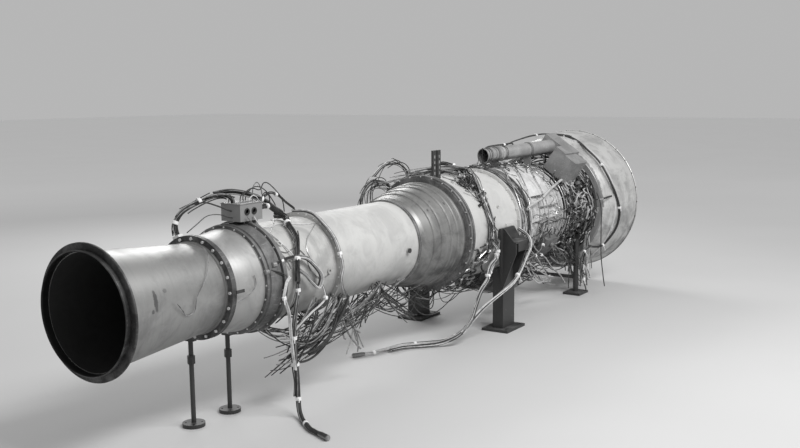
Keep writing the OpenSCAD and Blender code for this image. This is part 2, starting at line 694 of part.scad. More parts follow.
// Cone behind the turbine with the struts that carry it, their pads seated inside the tail pipe
exhaust_cone_r = 205;
module exhaust_cone() {
    x0 = x_tail;
    struts = 4;
    color([0.28, 0.26, 0.25]) from_axis() difference() {
        union() {
            turned([[0, x0 + 10], [exhaust_cone_r, x0 + 10], [exhaust_cone_r - 8, x0 + 80], [exhaust_cone_r - 60, x0 + 200],
                [30, x0 + tail_l - 60], [0, x0 + tail_l - 50]]);
            around(struts, x0 + 26, exhaust_cone_r - 12, 45) translate([0, -9, 0])
                cube([70, 18, turbine_r - exhaust_cone_r]);
        }
        difference() {
            translate([x0, 0, 0]) rotate([0, 90, 0]) cylinder(r = turbine_r + 40, h = tail_l, $fn = big_fn);
            turned([[0, x0 - 1], [turbine_r - comp_wall - seat, x0 - 1], [turbine_r - comp_wall - seat, x0 + 14],
                [turbine_r - 33 - seat, x0 + tail_l], [0, x0 + tail_l]]);
        }
    }
}

shroud_land = 16;
shroud_knee = 70;
shroud_rise = 38;
shroud_lip = 48;
shroud_seam = 6;
// Inner radius of the front part of the shroud at a station ahead of its knee
function shroud_in(x) = shroud_front_r + shroud_rise * (x - x_shroud) / shroud_knee - shroud_wall;
module shroud_half(a0) {
    rotate([a0, 0, 0]) intersection() {
        turned([[shroud_front_r - shroud_lip, x_shroud - 7], [shroud_front_r - shroud_lip + 3, x_shroud - 9],
            [shroud_front_r - 3, x_shroud - 2], [shroud_front_r, x_shroud + 1],
            [shroud_front_r + shroud_rise, x_shroud + shroud_knee], [shroud_band_r, x_band - shroud_land],
            [shroud_band_r, x_band], [shroud_band_r - shroud_wall, x_band],
            [shroud_band_r - shroud_wall, x_band - shroud_land],
            [shroud_front_r + shroud_rise - shroud_wall, x_shroud + shroud_knee],
            [shroud_front_r - shroud_wall, x_shroud + 4], [shroud_front_r - shroud_lip, x_shroud - 3]]);
        translate([x_shroud - 50, -800, shroud_seam / 2]) cube([shroud_front_l + 100, 1600, 800]);
    }
}

seam_tilt = 8;
module shroud_upper() {
    color([0.8, 0.8, 0.78]) from_axis() shroud_half(-seam_tilt);
}

module shroud_lower() {
    color([0.78, 0.78, 0.76]) from_axis() shroud_half(180 - seam_tilt);
}

// Share of the rear part's length and of its rise
flare_curve = [[0, 0], [0.036, 0], [0.2, 0.27], [0.4, 0.56], [0.6, 0.76], [0.8, 0.91], [1, 1]];
module shroud_flare() {
    rise = shroud_rim_r - shroud_band_r;
    outer = [for (p = flare_curve) [shroud_band_r + rise * p[1], x_band + shroud_rear_l * p[0]]];
    inner = [for (i = [len(outer) - 1:-1:0]) [outer[i][0] - shroud_wall, outer[i][1]]];
    color([0.85, 0.85, 0.85]) from_axis() union() {
        turned(concat(outer, inner));
        rotate([0, 90, 0]) translate([0, 0, x_rim]) rotate_extrude($fn = big_fn)
            translate([shroud_rim_r - shroud_wall / 2, 0]) circle(r = rim_bead_r, $fn = small_fn);
    }
}

band_clips = 12;
band_l = 28;
module shroud_band() {
    r0 = shroud_band_r + seat;
    color([0.5, 0.5, 0.5]) from_axis() union() {
        tube_x(x_band - band_l / 2, band_l, r0 + 4, r0);
        around(band_clips, x_band, r0 + 2, 10) translate([-9, -20, 0]) cube([18, 40, 10]);
    }
}

// Stand-off brackets that carry the shroud on the flanges behind the turbine
shroud_arms = 6;
module shroud_brackets() {
    foot_l = case_flange_t + 40;
    arm_x = foot_l - 10;
    x0 = x_tail - case_flange_t;
    reach = shroud_in(x0 + arm_x) - case_flange_r - 1.5;
    color([0.45, 0.45, 0.45]) from_axis() around(shroud_arms, x0, case_flange_r + seat, 22) union() {
        translate([0, -14, 0]) cube([foot_l, 28, 8]);
        translate([arm_x, -5, 0]) cube([10, 10, reach]);
        translate([arm_x, -14, reach - 8]) cube([10, 28, 8]);
    }
}

// The tube lies a little askew: its mouth is over the middle, its far end comes towards the near side
air_tube_x = x_front + 271;
air_tube_y = 60;
air_tube_socket = 60;
air_tube_yaw = -13.5;
air_tube_pitch = -2.6;
module along_air_tube() {
    translate([air_tube_x, air_tube_y, air_tube_h]) rotate([0, air_tube_pitch, air_tube_yaw]) rotate([0, 90, 0])
        children();
}
module cooling_air_tube() {
    wall = 3;
    r = air_tube_d / 2;
    end = air_tube_l + r;
    color([0.6, 0.6, 0.6]) from_axis() difference() {
        along_air_tube() rotate_extrude($fn = 48)
            polygon([[r - wall, 0], [r + 3, 0], [r + 3, 6], [r, 9], [r, end], [r - wall - 1, end],
                [r - wall - 1, air_tube_socket], [r - wall, air_tube_socket]]);
        translate([plenum_x, -400, 300]) cube([300, 600, 500]);
    }
}

saddle_at = [150, 570];
module tube_saddles() {
    w = 24;
    r = air_tube_d / 2 + seat;
    color([0.4, 0.4, 0.4]) from_axis() for (l = saddle_at) {
        x = air_tube_x + l * cos(air_tube_yaw);
        y = air_tube_y + l * sin(air_tube_yaw);
        base = x < x_comp + 480 ? case_front_r + 7 : comp_r;
        difference() {
            union() {
                translate([x - w / 2, y - 30, base - 24]) cube([w, 60, air_tube_h + 10 - base + 24]);
                along_air_tube() translate([0, 0, l - w / 2]) cylinder(r = r + 5, h = w, $fn = 48);
            }
            along_air_tube() translate([0, 0, l - 60]) cylinder(r = r, h = 120, $fn = 48);
            translate([x - 60, 0, 0]) rotate([0, 90, 0]) cylinder(r = base + seat, h = 120, $fn = big_fn);
        }
    }
}

// The folded sheet box beside the end of the air tube, standing square to the casing: [length, width, height]
box_angle = 55;
box_x = x_burner + 46;
box_foot = burner_r + 58;
box_high = [300, 106, 218];
box_low = [242, 129, 204];
box_wall = 4;
plenum = [190, 275, 150];
plenum_x = air_tube_x + air_tube_l * cos(air_tube_yaw) * cos(air_tube_pitch);
module hollow_box(size, wall) {
    difference() {
        cube(size);
        translate([wall, wall, wall]) cube([size[0] - 2 * wall, size[1] - 2 * wall, size[2] - 2 * wall]);
    }
}
module cooling_air_box() {
    color([0.62, 0.62, 0.64]) from_axis() difference() {
        on_ring(box_x, box_foot, box_angle) {
            translate([0, -26, 0]) hollow_box(box_high, box_wall);
            translate([0, -26 - box_low[1] + box_wall, 0]) hollow_box(box_low, box_wall);
            translate([plenum_x - box_x + seat, 10, 45]) hollow_box(plenum, box_wall);
            for (y = [-120, 40]) translate([64, y, burner_r - box_foot - 14])
                cube([22, 24, box_foot - burner_r + 16]);
        }
        translate([box_x - 10, 0, 0]) rotate([0, 90, 0]) cylinder(r = burner_r + seat, h = 320, $fn = big_fn);
        along_air_tube() translate([0, 0, air_tube_l - 60]) cylinder(r = air_tube_d / 2 - 5, h = 120, $fn = 48);
    }
}

// Gearbox under the front frame, with the housing of the radial drive
gearbox_x = x_front + 30;
gearbox_l = 420;
gearbox_w = 380;
gearbox_h = 130;
gearbox_top = -case_front_r - 30;
drive_x = x_front + 85;
module accessory_gearbox() {
    pad = 60;
    frame_skin = case_front_r + 4 + seat;
    flange = case_front_r + 24 + seat;
    color([0.55, 0.55, 0.52]) from_axis() union() {
        translate([gearbox_x, -gearbox_w / 2, gearbox_top - gearbox_h]) cube([gearbox_l, gearbox_w, gearbox_h]);
        difference() {
            translate([drive_x, 0, gearbox_top - 10]) cylinder(r = 45, h = 60, $fn = 48);
            translate([gearbox_x, 0, 0]) rotate([0, 90, 0]) cylinder(r = frame_skin, h = 200, $fn = big_fn);
        }
        difference() {
            for (y = [-gearbox_w / 2 + 10, gearbox_w / 2 - pad]) translate([x_comp - pad / 2, y, gearbox_top - 10])
                cube([pad, pad - 10, 90]);
            translate([gearbox_x, 0, 0]) rotate([0, 90, 0]) cylinder(r = flange, h = 400, $fn = big_fn);
        }
        translate([gearbox_x + 40, -gearbox_w / 2 + 40, gearbox_top - gearbox_h - 14])
            cube([gearbox_l - 80, gearbox_w - 80, 20]);
    }
}

gearbox_back = gearbox_x + gearbox_l;
gearbox_mid_z = gearbox_top - gearbox_h / 2;
module starter() {
    r = 62;
    color([0.45, 0.45, 0.47]) from_axis() translate([gearbox_back, -95, gearbox_mid_z]) rotate([0, 90, 0])
        rotate_extrude($fn = 48) polygon([[0, 0], [r + 10, 0], [r + 10, 10], [r, 12], [r, 150], [r - 10, 160],
            [r - 10, 205], [r - 18, 212], [0, 212]]);
}

module fuel_pump() {
    r = 55;
    color([0.5, 0.5, 0.48]) from_axis() translate([gearbox_back, 95, gearbox_mid_z]) union() {
        rotate([0, 90, 0]) rotate_extrude($fn = 48) polygon([[0, 0], [r + 10, 0], [r + 10, 10], [r, 12], [r, 130],
            [r - 20, 150], [0, 150]]);
        translate([80, 0, 0]) cylinder(r = 18, h = r + 22, $fn = small_fn);
    }
}

control_x = gearbox_x + 60;
control = [150, 90, 110];
lever_pin_r = 8;
lever_play = 0.05;
lever_x = control_x + 40;
lever_y = -gearbox_w / 2 - control[1];
lever_t = 10;
module fuel_control() {
    color([0.5, 0.5, 0.5]) from_axis() union() {
        translate([control_x, lever_y, gearbox_mid_z - control[2] / 2]) cube(control);
        translate([lever_x, lever_y, gearbox_mid_z]) rotate([90, 0, 0]) {
            cylinder(r = 22, h = 8, $fn = 48);
            cylinder(r = lever_pin_r, h = 8 + lever_t + 6, $fn = 48);
        }
        translate([control_x + 110, lever_y, gearbox_mid_z + 10]) rotate([90, 0, 0]) cylinder(r = 20, h = 30, $fn = 6);
    }
}

// Rests pointing down; it swings forward to open the throttle
lever_l = 85;
module throttle_lever() {
    color([0.75, 0.75, 0.75]) from_axis() translate([lever_x, lever_y - 8 - seat, gearbox_mid_z])
        rotate([90, 0, 0]) difference() {
            union() {
                cylinder(r = 17, h = lever_t, $fn = 48);
                linear_extrude(height = lever_t) polygon([[-14, -8], [14, -8], [8, 1 - lever_l], [-8, 1 - lever_l]]);
                translate([0, -lever_l, 0]) cylinder(r = 9, h = lever_t, $fn = small_fn);
            }
            translate([0, 0, -1]) cylinder(r = lever_pin_r + lever_play, h = lever_t + 2, $fn = 48);
            translate([0, -lever_l, -1]) cylinder(r = 4, h = lever_t + 2, $fn = small_fn);
        }
}

tank_in_r = comp_r + 26;
tank_x = x_comp + 350;
module oil_tank() {
    l = 250;
    depth = 62;
    color([0.5, 0.5, 0.48]) from_axis() union() {
        translate([tank_x, 0, 0]) arc_x(-72, -26) polygon([[tank_in_r, 12], [tank_in_r + 12, 0],
            [tank_in_r + depth - 12, 0], [tank_in_r + depth, 12], [tank_in_r + depth, l - 12],
            [tank_in_r + depth - 12, l], [tank_in_r + 12, l], [tank_in_r, l - 12]]);
        for (x = [30, 200], a = [-64, -40]) on_ring(tank_x + x, comp_r + seat, a) translate([-10, -14, 0])
            cube([20, 28, tank_in_r - comp_r + 6]);
        on_ring(tank_x + l / 2, tank_in_r + depth - 8, -34) cylinder(r = 24, h = 30, $fn = small_fn);
    }
}

module ignition_units() {
    color([0.4, 0.4, 0.4]) from_axis() difference() {
        for (a = [205, 232]) on_ring(x_comp + 380, comp_r, a) {
            translate([0, -45, 20]) cube([170, 90, 60]);
            for (x = [16, 146], y = [-40, 24]) translate([x, y, -8]) cube([20, 16, 32]);
            translate([170, 0, 50]) rotate([0, 90, 0]) cylinder(r = 14, h = 24, $fn = small_fn);
        }
        translate([x_comp + 300, 0, 0]) rotate([0, 90, 0]) cylinder(r = comp_r + seat, h = 300, $fn = big_fn);
    }
}

jbox_x = x_rake - 105;
jbox_y = -85;
jbox_z = joint2_rear_r + 2;
jbox_wall = 3;
gland_r = 13;
module junction_box_body() {
    color([0.45, 0.45, 0.45]) from_axis() difference() {
        union() {
            translate([jbox_x, jbox_y, jbox_z]) cube(junction_box);
            difference() {
                for (x = [x_rake - 22, x_rake + 40]) translate([x, jbox_y + 20, jbox_z - 60])
                    cube([16, junction_box[1] - 40, 62]);
                translate([x_rake - 40, 0, 0]) rotate([0, 90, 0])
                    cylinder(r = joint2_rear_r + seat, h = 42, $fn = big_fn);
                translate([x_rake + 10, 0, 0]) rotate([0, 90, 0]) cylinder(r = duct_r + seat, h = 80, $fn = big_fn);
            }
        }
        translate([jbox_x + jbox_wall, jbox_y + jbox_wall, jbox_z + jbox_wall])
            cube([junction_box[0] - 2 * jbox_wall, junction_box[1] - 2 * jbox_wall, junction_box[2]]);
        for (x = [0.3, 0.62]) translate([jbox_x + x * junction_box[0], jbox_y - 1, jbox_z + 0.55 * junction_box[2]])
            rotate([-90, 0, 0]) cylinder(r = gland_r, h = jbox_wall + 2, $fn = small_fn);
    }
}

module junction_box_lid() {
    over = 4;
    top = jbox_z + junction_box[2];
    color([0.5, 0.5, 0.5]) from_axis() union() {
        translate([jbox_x - over, jbox_y - over, top]) cube([junction_box[0] + 2 * over, junction_box[1] + 2 * over, 3]);
        for (x = [8, junction_box[0] - 8], y = [8, junction_box[1] - 8])
            translate([jbox_x + x, jbox_y + y, top + 2]) cylinder(r = 5, h = 4, $fn = 12);
    }
}

// Routes of the cable bundles, from the mouth plane and the engine axis
// Where a held bundle hands over to its free cable, both run straight in the same direction
function ahead_of(end, way, l) = end + l * unit(way);
// Points given by their station behind another one
function behind(x0, points) = [for (p = points) [x0 + p[0], p[1], p[2]]];
// The last straight of a held bundle, or the first of its free cable with far counted ahead of the end
function straight(end, way, far) = [for (l = far) ahead_of(end, way, l)];
front_end = [x_rake + 99, -309, -30];
front_way = [-4, -3, -40];
engine_end = [x_front - 388, -418, -140];
engine_way = [-10, 2, -40];
front_route = concat(behind(x_rake, [
    [75.7, -40, 375], [88, -40, 375], [100, -40, 375], [132, -35, 384], [205, -18, 378], [277, -14, 342], [303, -52, 314],
    [267, -104, 299], [224, -150, 281], [197, -215, 232], [163, -261, 178], [118, -293, 122],
    [102, -308, 60]]),
    straight(front_end, front_way, [-60, -30, 0]));
loop_route = concat(behind(x_joint1, [
    [16, 121.1, 274.6], [19, 136, 310], [32, 142, 350], [70, 120, 404]]), behind(x_rake, [
    [-240, 84, 446], [-160, 50, 470], [-105, 20, 470], [-81, 2, 455], [-75, -2, 440], [-74, -3, 426]]));
engine_route = concat(behind(x_front, [
    [-360, 175, 392], [-368, 90, 421], [-388, 0, 430], [-420, -166, 394], [-470, -284, 313],
    [-476, -352, 232], [-470, -398, 144], [-468, -420, 55], [-476, -424, -20]]),
    straight(engine_end, engine_way, [-60, -30, 0]));
front_cable_route = concat(straight(front_end, front_way, [0.8, 30, 60]), behind(x_rake, [
    [65, -322, -170], [37, -328, -260], [30, -330, -350], [40, -330, -470], [51, -330, -590],
    [45, -338, -680], [23, -362, -738], [-17, -412, -763], [-71, -482, -763], [-125, -560, -763],
    [-140, -600, -763], [-155, -640, -763]]));
floor_cable_route = concat(straight(engine_end, engine_way, [0.8, 30, 60]), behind(x_front, [
    [-470, -405, -300], [-560, -400, -390], [-650, -400, -470], [-700, -392, -560], [-708, -350, -655],
    [-720, -275, -733], [-786, -203, -763], [-915, -153, -763], [-1018, -89, -763], [-1119, -26, -763],
    [-1262, 5, -763], [-1365, 30, -763], [-1395, 48, -763], [-1425, 66, -763]]));
front_plug_turn = [-15, -40, 0];
floor_plug_turn = [-30, 18, 0];

module held_harnesses() {
    color([0.15, 0.15, 0.15]) from_axis() {
        bundle(front_route, bundle_r);
        bundle(engine_route, bundle_r);
        bundle(loop_route, bundle_r - 3, 2, 8, [1, 0.1, 0.1]);
    }
}

// A clip block stands under each bundle, square to the casing: station, casing radius, angle and height
module clip_block(x, r, a, up) {
    on_ring(x, r + seat, a) translate([-12, -9, 0]) cube([24, 18, up - seat]);
}

socket_at = 113.7;
anchor_at = 114.1;
module harness_clips() {
    color([0.6, 0.6, 0.6]) from_axis() {
        clip_block(x_rake + 183, duct_r, 40, 11);
        clip_block(x_rake + 127, duct_r, 22.5, 11);
        clip_block(x_front - 474, engine_duct_r, 40.5, 4);
        clip_block(x_front - 469, engine_duct_r, 13.5, 4);
        clip_block(x_front - 388, engine_duct_r, 90, 8);
        on_ring(x_joint1 + joint1_t, joint1_r + seat, socket_at) translate([-16, -24, 0]) cube([32, 48, 14]);
        on_ring(x_front - 358, engine_duct_r + seat, anchor_at) translate([-20, 2.4, 0])
            cube([40, 44, 46]);
    }
}

module front_cable() {
    color([0.2, 0.2, 0.2]) from_axis() bundle(front_cable_route, bundle_r, 2, 8);
}

module floor_cable() {
    color([0.75, 0.73, 0.7]) from_axis() bundle(floor_cable_route, bundle_r, 2, 8);
}

module plug(end, turn) {
    l = 90;
    translate(end) rotate([0, 90, atan2(turn[1], turn[0])]) rotate_extrude($fn = 32) polygon([
        [0, 0.8], [12, 0.8], [15, 20], [15, l - 30], [bundle_r, l - 28], [bundle_r, l - 4], [bundle_r - 2, l], [0, l]]);
}

module cable_plugs() {
    color([0.6, 0.6, 0.6]) from_axis() {
        plug(front_cable_route[len(front_cable_route) - 1], front_plug_turn);
        plug(floor_cable_route[len(floor_cable_route) - 1], floor_plug_turn);
    }
}

module jack_post(x, rim_r) {
    top = -sqrt(rim_r * rim_r - post_y * post_y);
    w = 36;
    difference() {
        translate([x - w / 2, post_y - 28, top - 22]) cube([w, 56, 40]);
        translate([x - w, 0, 0]) rotate([0, 90, 0]) cylinder(r = rim_r + seat, h = 2 * w, $fn = big_fn);
    }
    translate([x, post_y, floor_z + foot_t]) cylinder(r = post_r, h = top - 21 - floor_z - foot_t, $fn = small_fn);
    translate([x, post_y, top - 150]) cylinder(r = post_r + 9, h = 46, $fn = 6);
    difference() {
        translate([x, post_y, floor_z]) cylinder(r = 62, h = foot_t + 1, $fn = 48);
        for (a = [45:90:315]) translate([x + 44 * cos(a), post_y + 44 * sin(a), floor_z - 1])
            cylinder(r = foot_hole_r - 3, h = foot_t + 3, $fn = small_fn);
    }
}

module jack_posts() {
    color([0.14, 0.14, 0.14]) from_axis() {
        jack_post(post_1_x, joint1_r);
        jack_post(post_2_x, joint2_r);
    }
}

// Foot plate with a bolt hole near each corner, centred under a column
module foot_plate(l, w, spread) {
    difference() {
        translate([-l / 2, -w / 2, 0]) cube([l, w, foot_t]);
        for (x = [-1, 1], y = [-1, 1]) translate([x * spread[0] / 2, y * spread[1] / 2, -1])
            cylinder(r = foot_hole_r, h = foot_t + 2, $fn = small_fn);
    }
}

pedestal_foot = [300, 220];
pedestal_holes = [240, 160];
trestle_foot = [200, 160];
trestle_holes = [140, 100];
duct_pad = engine_duct_r + 10;
plate_t = 18;
plate_l = 330;
arm_low = -430;
ledge_y = 538;
web_t = 12;
module pedestal() {
    face = duct_pad;
    back = face + plate_t;
    x1 = x_front - frame_flange_t - 1;
    x0 = x1 - plate_l;
    gusset_x = x0 + 34;
    ledge_l = 220;
    column_x = x0 + 40 + pedestal_l / 2;
    union() {
        translate([0, -face, 0]) rotate([90, 0, 0]) linear_extrude(height = plate_t) polygon([[x0, 12],
            [x1 - 112, 12], [x1 - 10, -84], [x1 - 10, -190], [x1 - 70, arm_low], [x0 + 40, arm_low], [x0, -200]]);
        difference() {
            translate([x1 - 20, -back, -230]) cube([100, 100, 150]);
            translate([x1 - 21, 0, 0]) rotate([0, 90, 0]) cylinder(r = front_flange_r + seat, h = 200, $fn = big_fn);
        }
        translate([gusset_x, 0, 0]) rotate([90, 0, 90]) linear_extrude(height = web_t) polygon([[-face - 1, 10],
            [-back - 8, 10], [-ledge_y, ledge_z - 18], [-ledge_y, ledge_z - 90], [-back - 8, arm_low],
            [-face - 1, arm_low]]);
        translate([gusset_x + ledge_l - 50, 0, 0]) rotate([90, 0, 90]) linear_extrude(height = web_t) polygon([
            [-face - 1, ledge_z - 2], [-ledge_y, ledge_z - 2], [-ledge_y, ledge_z - 74], [-back - 8, arm_low],
            [-face - 1, arm_low]]);
        translate([gusset_x + 1, -ledge_y, ledge_z - web_t]) cube([ledge_l - 1, ledge_y - face - 1, web_t]);
        translate([gusset_x + 44, -ledge_y, ledge_z - 76]) cube([ledge_l - 44, web_t, 70]);
        translate([column_x - pedestal_l / 2, -pedestal_y - pedestal_w / 2, floor_z + foot_t - 1])
            cube([pedestal_l, pedestal_w, -300 - floor_z - foot_t]);
        translate([column_x, -pedestal_y, floor_z]) foot_plate(pedestal_foot[0], pedestal_foot[1], pedestal_holes);
    }
}
module pedestals() {
    color([0.1, 0.1, 0.1]) from_axis() {
        pedestal();
        mirror([0, 1, 0]) pedestal();
    }
}

module trestle_side() {
    top_r = norm([trestle_y, 250]);
    a = -atan2(250, trestle_y);
    translate([trestle_x, -trestle_y, floor_z + foot_t - 1]) cylinder(r = leg_r, h = -250 - floor_z - foot_t + 1, $fn = 48);
    on_ring(trestle_x, turbine_r + seat, a) translate([-30, -24, 0]) cube([60, 48, top_r - turbine_r - 10]);
    translate([trestle_x - 30, -trestle_y - 30, -262]) cube([60, 60, 20]);
    translate([trestle_x, -trestle_y, floor_z]) foot_plate(trestle_foot[0], trestle_foot[1], trestle_holes);
}

module rear_trestle() {
    color([0.3, 0.3, 0.3]) from_axis() union() {
        trestle_side();
        mirror([0, 1, 0]) trestle_side();
        translate([trestle_x, -trestle_y, floor_z + 150]) rotate([-90, 0, 0])
            cylinder(r = 16, h = 2 * trestle_y, $fn = small_fn);
    }
}

mouth_ring();
inlet_cone();
joint_1_rings();
joint_1_bolts();
flared_spool();
joint_2_ring();
joint_screws();
rake_spool();
straight_duct();
coupling_ring();
ribbed_bell();
joint_4_ring();
engine_duct();
front_bolts();
front_frame();
nose_bullet();
inlet_guide_vanes();
compressor_case_upper();
compressor_case_lower();
case_bolts();
stator_rings();
top_fairing();
main_shaft();
compressor_rotor();
turbine_rotor();
bearing_inner_rings();
bearing_outer_rings();
combustor_case();
combustion_liner();
fuel_manifold();
ring_pipes();
turbine_nozzle();
turbine_case();
tail_pipe();
exhaust_cone();
shroud_upper();
shroud_lower();
shroud_flare();
shroud_band();
shroud_brackets();
cooling_air_tube();
tube_saddles();
cooling_air_box();
accessory_gearbox();
starter();
fuel_pump();
fuel_control();
throttle_lever();
oil_tank();
ignition_units();
junction_box_body();
junction_box_lid();
held_harnesses();
harness_clips();
front_cable();
floor_cable();
cable_plugs();
jack_posts();
pedestals();
rear_trestle();
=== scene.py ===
# %% [markdown]
# # A jet engine on its test stands
# The machine is nearly six metres long: a bolted inlet duct, a ribbed bell, the engine with its casings and rotor, and
# a wide shroud round the exhaust. A CAD model already holds the rigid parts at their real size, so this lesson loads it
# as a fixed frame and spends its time on what CAD does badly: worn metal, bundles of wires, taped cables, thin pipes.

# %% Load the frame
import json
import math
import random

import bpy
from mathutils import Matrix, Vector


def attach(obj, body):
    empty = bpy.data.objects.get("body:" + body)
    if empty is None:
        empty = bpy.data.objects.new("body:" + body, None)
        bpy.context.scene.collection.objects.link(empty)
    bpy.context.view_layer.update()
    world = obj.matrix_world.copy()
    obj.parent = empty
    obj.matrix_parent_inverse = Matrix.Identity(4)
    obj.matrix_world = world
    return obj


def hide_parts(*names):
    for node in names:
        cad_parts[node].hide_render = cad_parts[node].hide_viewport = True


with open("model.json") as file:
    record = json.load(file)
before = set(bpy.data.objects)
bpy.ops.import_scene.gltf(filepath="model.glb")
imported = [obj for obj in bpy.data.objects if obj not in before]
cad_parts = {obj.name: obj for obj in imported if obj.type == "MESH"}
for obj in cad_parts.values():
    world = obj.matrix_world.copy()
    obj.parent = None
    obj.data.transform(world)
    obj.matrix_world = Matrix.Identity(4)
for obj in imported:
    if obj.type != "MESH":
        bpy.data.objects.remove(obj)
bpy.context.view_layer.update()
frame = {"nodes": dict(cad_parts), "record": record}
nodes = frame["nodes"]

# %% [markdown]
# ## Places on a round machine
# Nearly everything here sits on a cylinder, so it is easier to say "this far behind the mouth, at this angle round the
# duct, this far from the axis" than to work out X, Y and Z. `at` turns millimetres from the mouth and from the engine
# axis into metres in the frame. `round_axis` takes a station, an angle and a radius: 0 degrees is the near side, 90 the
# top. `outward` is the direction that leaves the axis at an angle.

# %% Places
MIDDLE = 2862.0  # station of the frame's origin behind the mouth, mm
AXIS = 780.0  # height of the engine axis over the floor, mm


def at(x, y, z):
    return Vector(((x - MIDDLE) / 1000, y / 1000, (z + AXIS) / 1000))


def round_axis(x, angle, radius):
    turn = math.radians(angle)
    return at(x, -radius * math.cos(turn), radius * math.sin(turn))


def outward(angle):
    return round_axis(0, angle, 1000) - round_axis(0, angle, 0)


print("mouth of the duct at", [round(v, 3) for v in at(0, 0, 0)])

# %% [markdown]
# ## Camera
# The photograph was taken from ahead of the mouth, a little above the duct, looking along the machine and down. Its
# place and lens were solved from the round edges of the ducts. A lens of 43 mm on a 36 mm sensor gives the same
# perspective; the small shifts place the middle of the picture.

# %% Camera
PICTURE_WIDTH = 800  # pixels
FOCAL_LENGTH = 959.2  # pixels
SENSOR_WIDTH = 36  # mm
yaw, pitch, roll = math.radians(32.25), math.radians(8.5), math.radians(-0.38)
look = Vector((math.cos(yaw) * math.cos(pitch), math.sin(yaw) * math.cos(pitch), -math.sin(pitch)))
level = Vector((math.sin(yaw), -math.cos(yaw), 0))
rise = level.cross(look)
right = math.cos(roll) * level + math.sin(roll) * rise
upward = math.cos(roll) * rise - math.sin(roll) * level
camera = bpy.data.objects.new("photo_camera", bpy.data.cameras.new("photo_camera"))
bpy.context.scene.collection.objects.link(camera)
turned_to_view = Matrix((right, upward, -look)).transposed().to_4x4()
camera.matrix_world = Matrix.Translation(at(-2910.1, -3705.3, 1023.1)) @ turned_to_view
camera.data.sensor_width = SENSOR_WIDTH
camera.data.lens = FOCAL_LENGTH / PICTURE_WIDTH * SENSOR_WIDTH
camera.data.shift_x = -20.2 / PICTURE_WIDTH
camera.data.shift_y = 12.1 / PICTURE_WIDTH
camera.data.clip_end = 200
bpy.context.scene.camera = camera
bpy.context.scene.view_settings.view_transform = "Standard"
print("camera at", [round(v, 3) for v in camera.location])

# %% [markdown]
# ## Shader maths as plain expressions
# A material here is a recipe of masks: stains, scratches, and painted shade low down on the ducts. Written with nodes
# one by one that becomes long, so this small class wraps a node socket and overloads the Python operators. `1 - mask`
# or
# `noise * 0.3 + 0.2` then adds the Math nodes by itself.

# %% A socket that does maths
class Field:
    def __init__(self, tree, socket):
        self.tree, self.socket = tree, socket

    def node(self, kind, settings=None, stops=None, out=0, **inputs):
        made = self.tree.nodes.new(kind)
        for name, value in (settings or {}).items():
            setattr(made, name, value)
        if stops:
            ramp = made.color_ramp
            while len(ramp.elements) < len(stops):
                ramp.elements.new(0.5)
            for element, (place, tone) in zip(ramp.elements, stops):
                element.position = place
                element.color = (tone, tone, tone, 1)
        for name, value in inputs.items():
            key = int(name[1:]) if name[0] == "i" and name[1:].isdigit() else name.replace("_", " ")
            target = made.inputs[key]
            if isinstance(value, Field):
                self.tree.links.new(value.socket, target)
            else:
                target.default_value = value
        return Field(self.tree, made.outputs[out])

    def maths(self, operation, *values, clamp=False):
        inputs = {f"i{k}": v for k, v in enumerate(values)}
        return self.node("ShaderNodeMath", {"operation": operation, "use_clamp": clamp}, **inputs)

    def __add__(self, other): return self.maths("ADD", self, other)
    def __sub__(self, other): return self.maths("SUBTRACT", self, other)
    def __mul__(self, other): return self.maths("MULTIPLY", self, other)
    def __truediv__(self, other): return self.maths("DIVIDE", self, other)
    def __radd__(self, other): return self.maths("ADD", other, self)
    def __rsub__(self, other): return self.maths("SUBTRACT", other, self)
    def __rmul__(self, other): return self.maths("MULTIPLY", other, self)

    def power(self, other): return self.maths("POWER", self, other)
    def limit(self): return self.maths("ADD", self, 0.0, clamp=True)
    def more(self, other): return self.maths("MAXIMUM", self, other)

    def step(self, low, high):
        """0 below low, 1 above high, smooth between them."""
        return self.node("ShaderNodeMapRange", {"interpolation_type": "SMOOTHSTEP"}, Value=self,
                         From_Min=low, From_Max=high, To_Min=0.0, To_Max=1.0)

    def towards(self, dark, pale):
        """A colour that goes from dark to pale as this field goes from 0 to 1."""
        made = self.node("ShaderNodeMix", {"data_type": "RGBA", "clamp_factor": True}, out=2, i0=self)
        mix = made.socket.node
        for key, tone in ((6, dark), (7, pale)):
            if isinstance(tone, Field):
                self.tree.links.new(tone.socket, mix.inputs[key])
            else:
                mix.inputs[key].default_value = grey(tone)
        return made


def triple(tone):
    """One tone as three equal numbers; three numbers stay as they are."""
    return [tone] * 3 if isinstance(tone, (int, float)) else list(tone)


def grey(tone):
    """A full colour. The photograph is black and white, so its three numbers are equal or nearly so."""
    return (*triple(tone), 1)


print("field helper ready")

# %% [markdown]
# ## Surfaces that know where they are
# Each recipe starts from the position on the machine, in metres. Every CAD node has its object at the origin, so Object
# coordinates are the frame's own. `Surface` adds the two numbers a rolled duct needs: the angle round the axis and the
# distance from it. Rolled sheet is scratched and stained round the axis, so its noise is stretched that way. It also
# tells the inside of a duct from the outside, because a face of the inside points back at the axis.

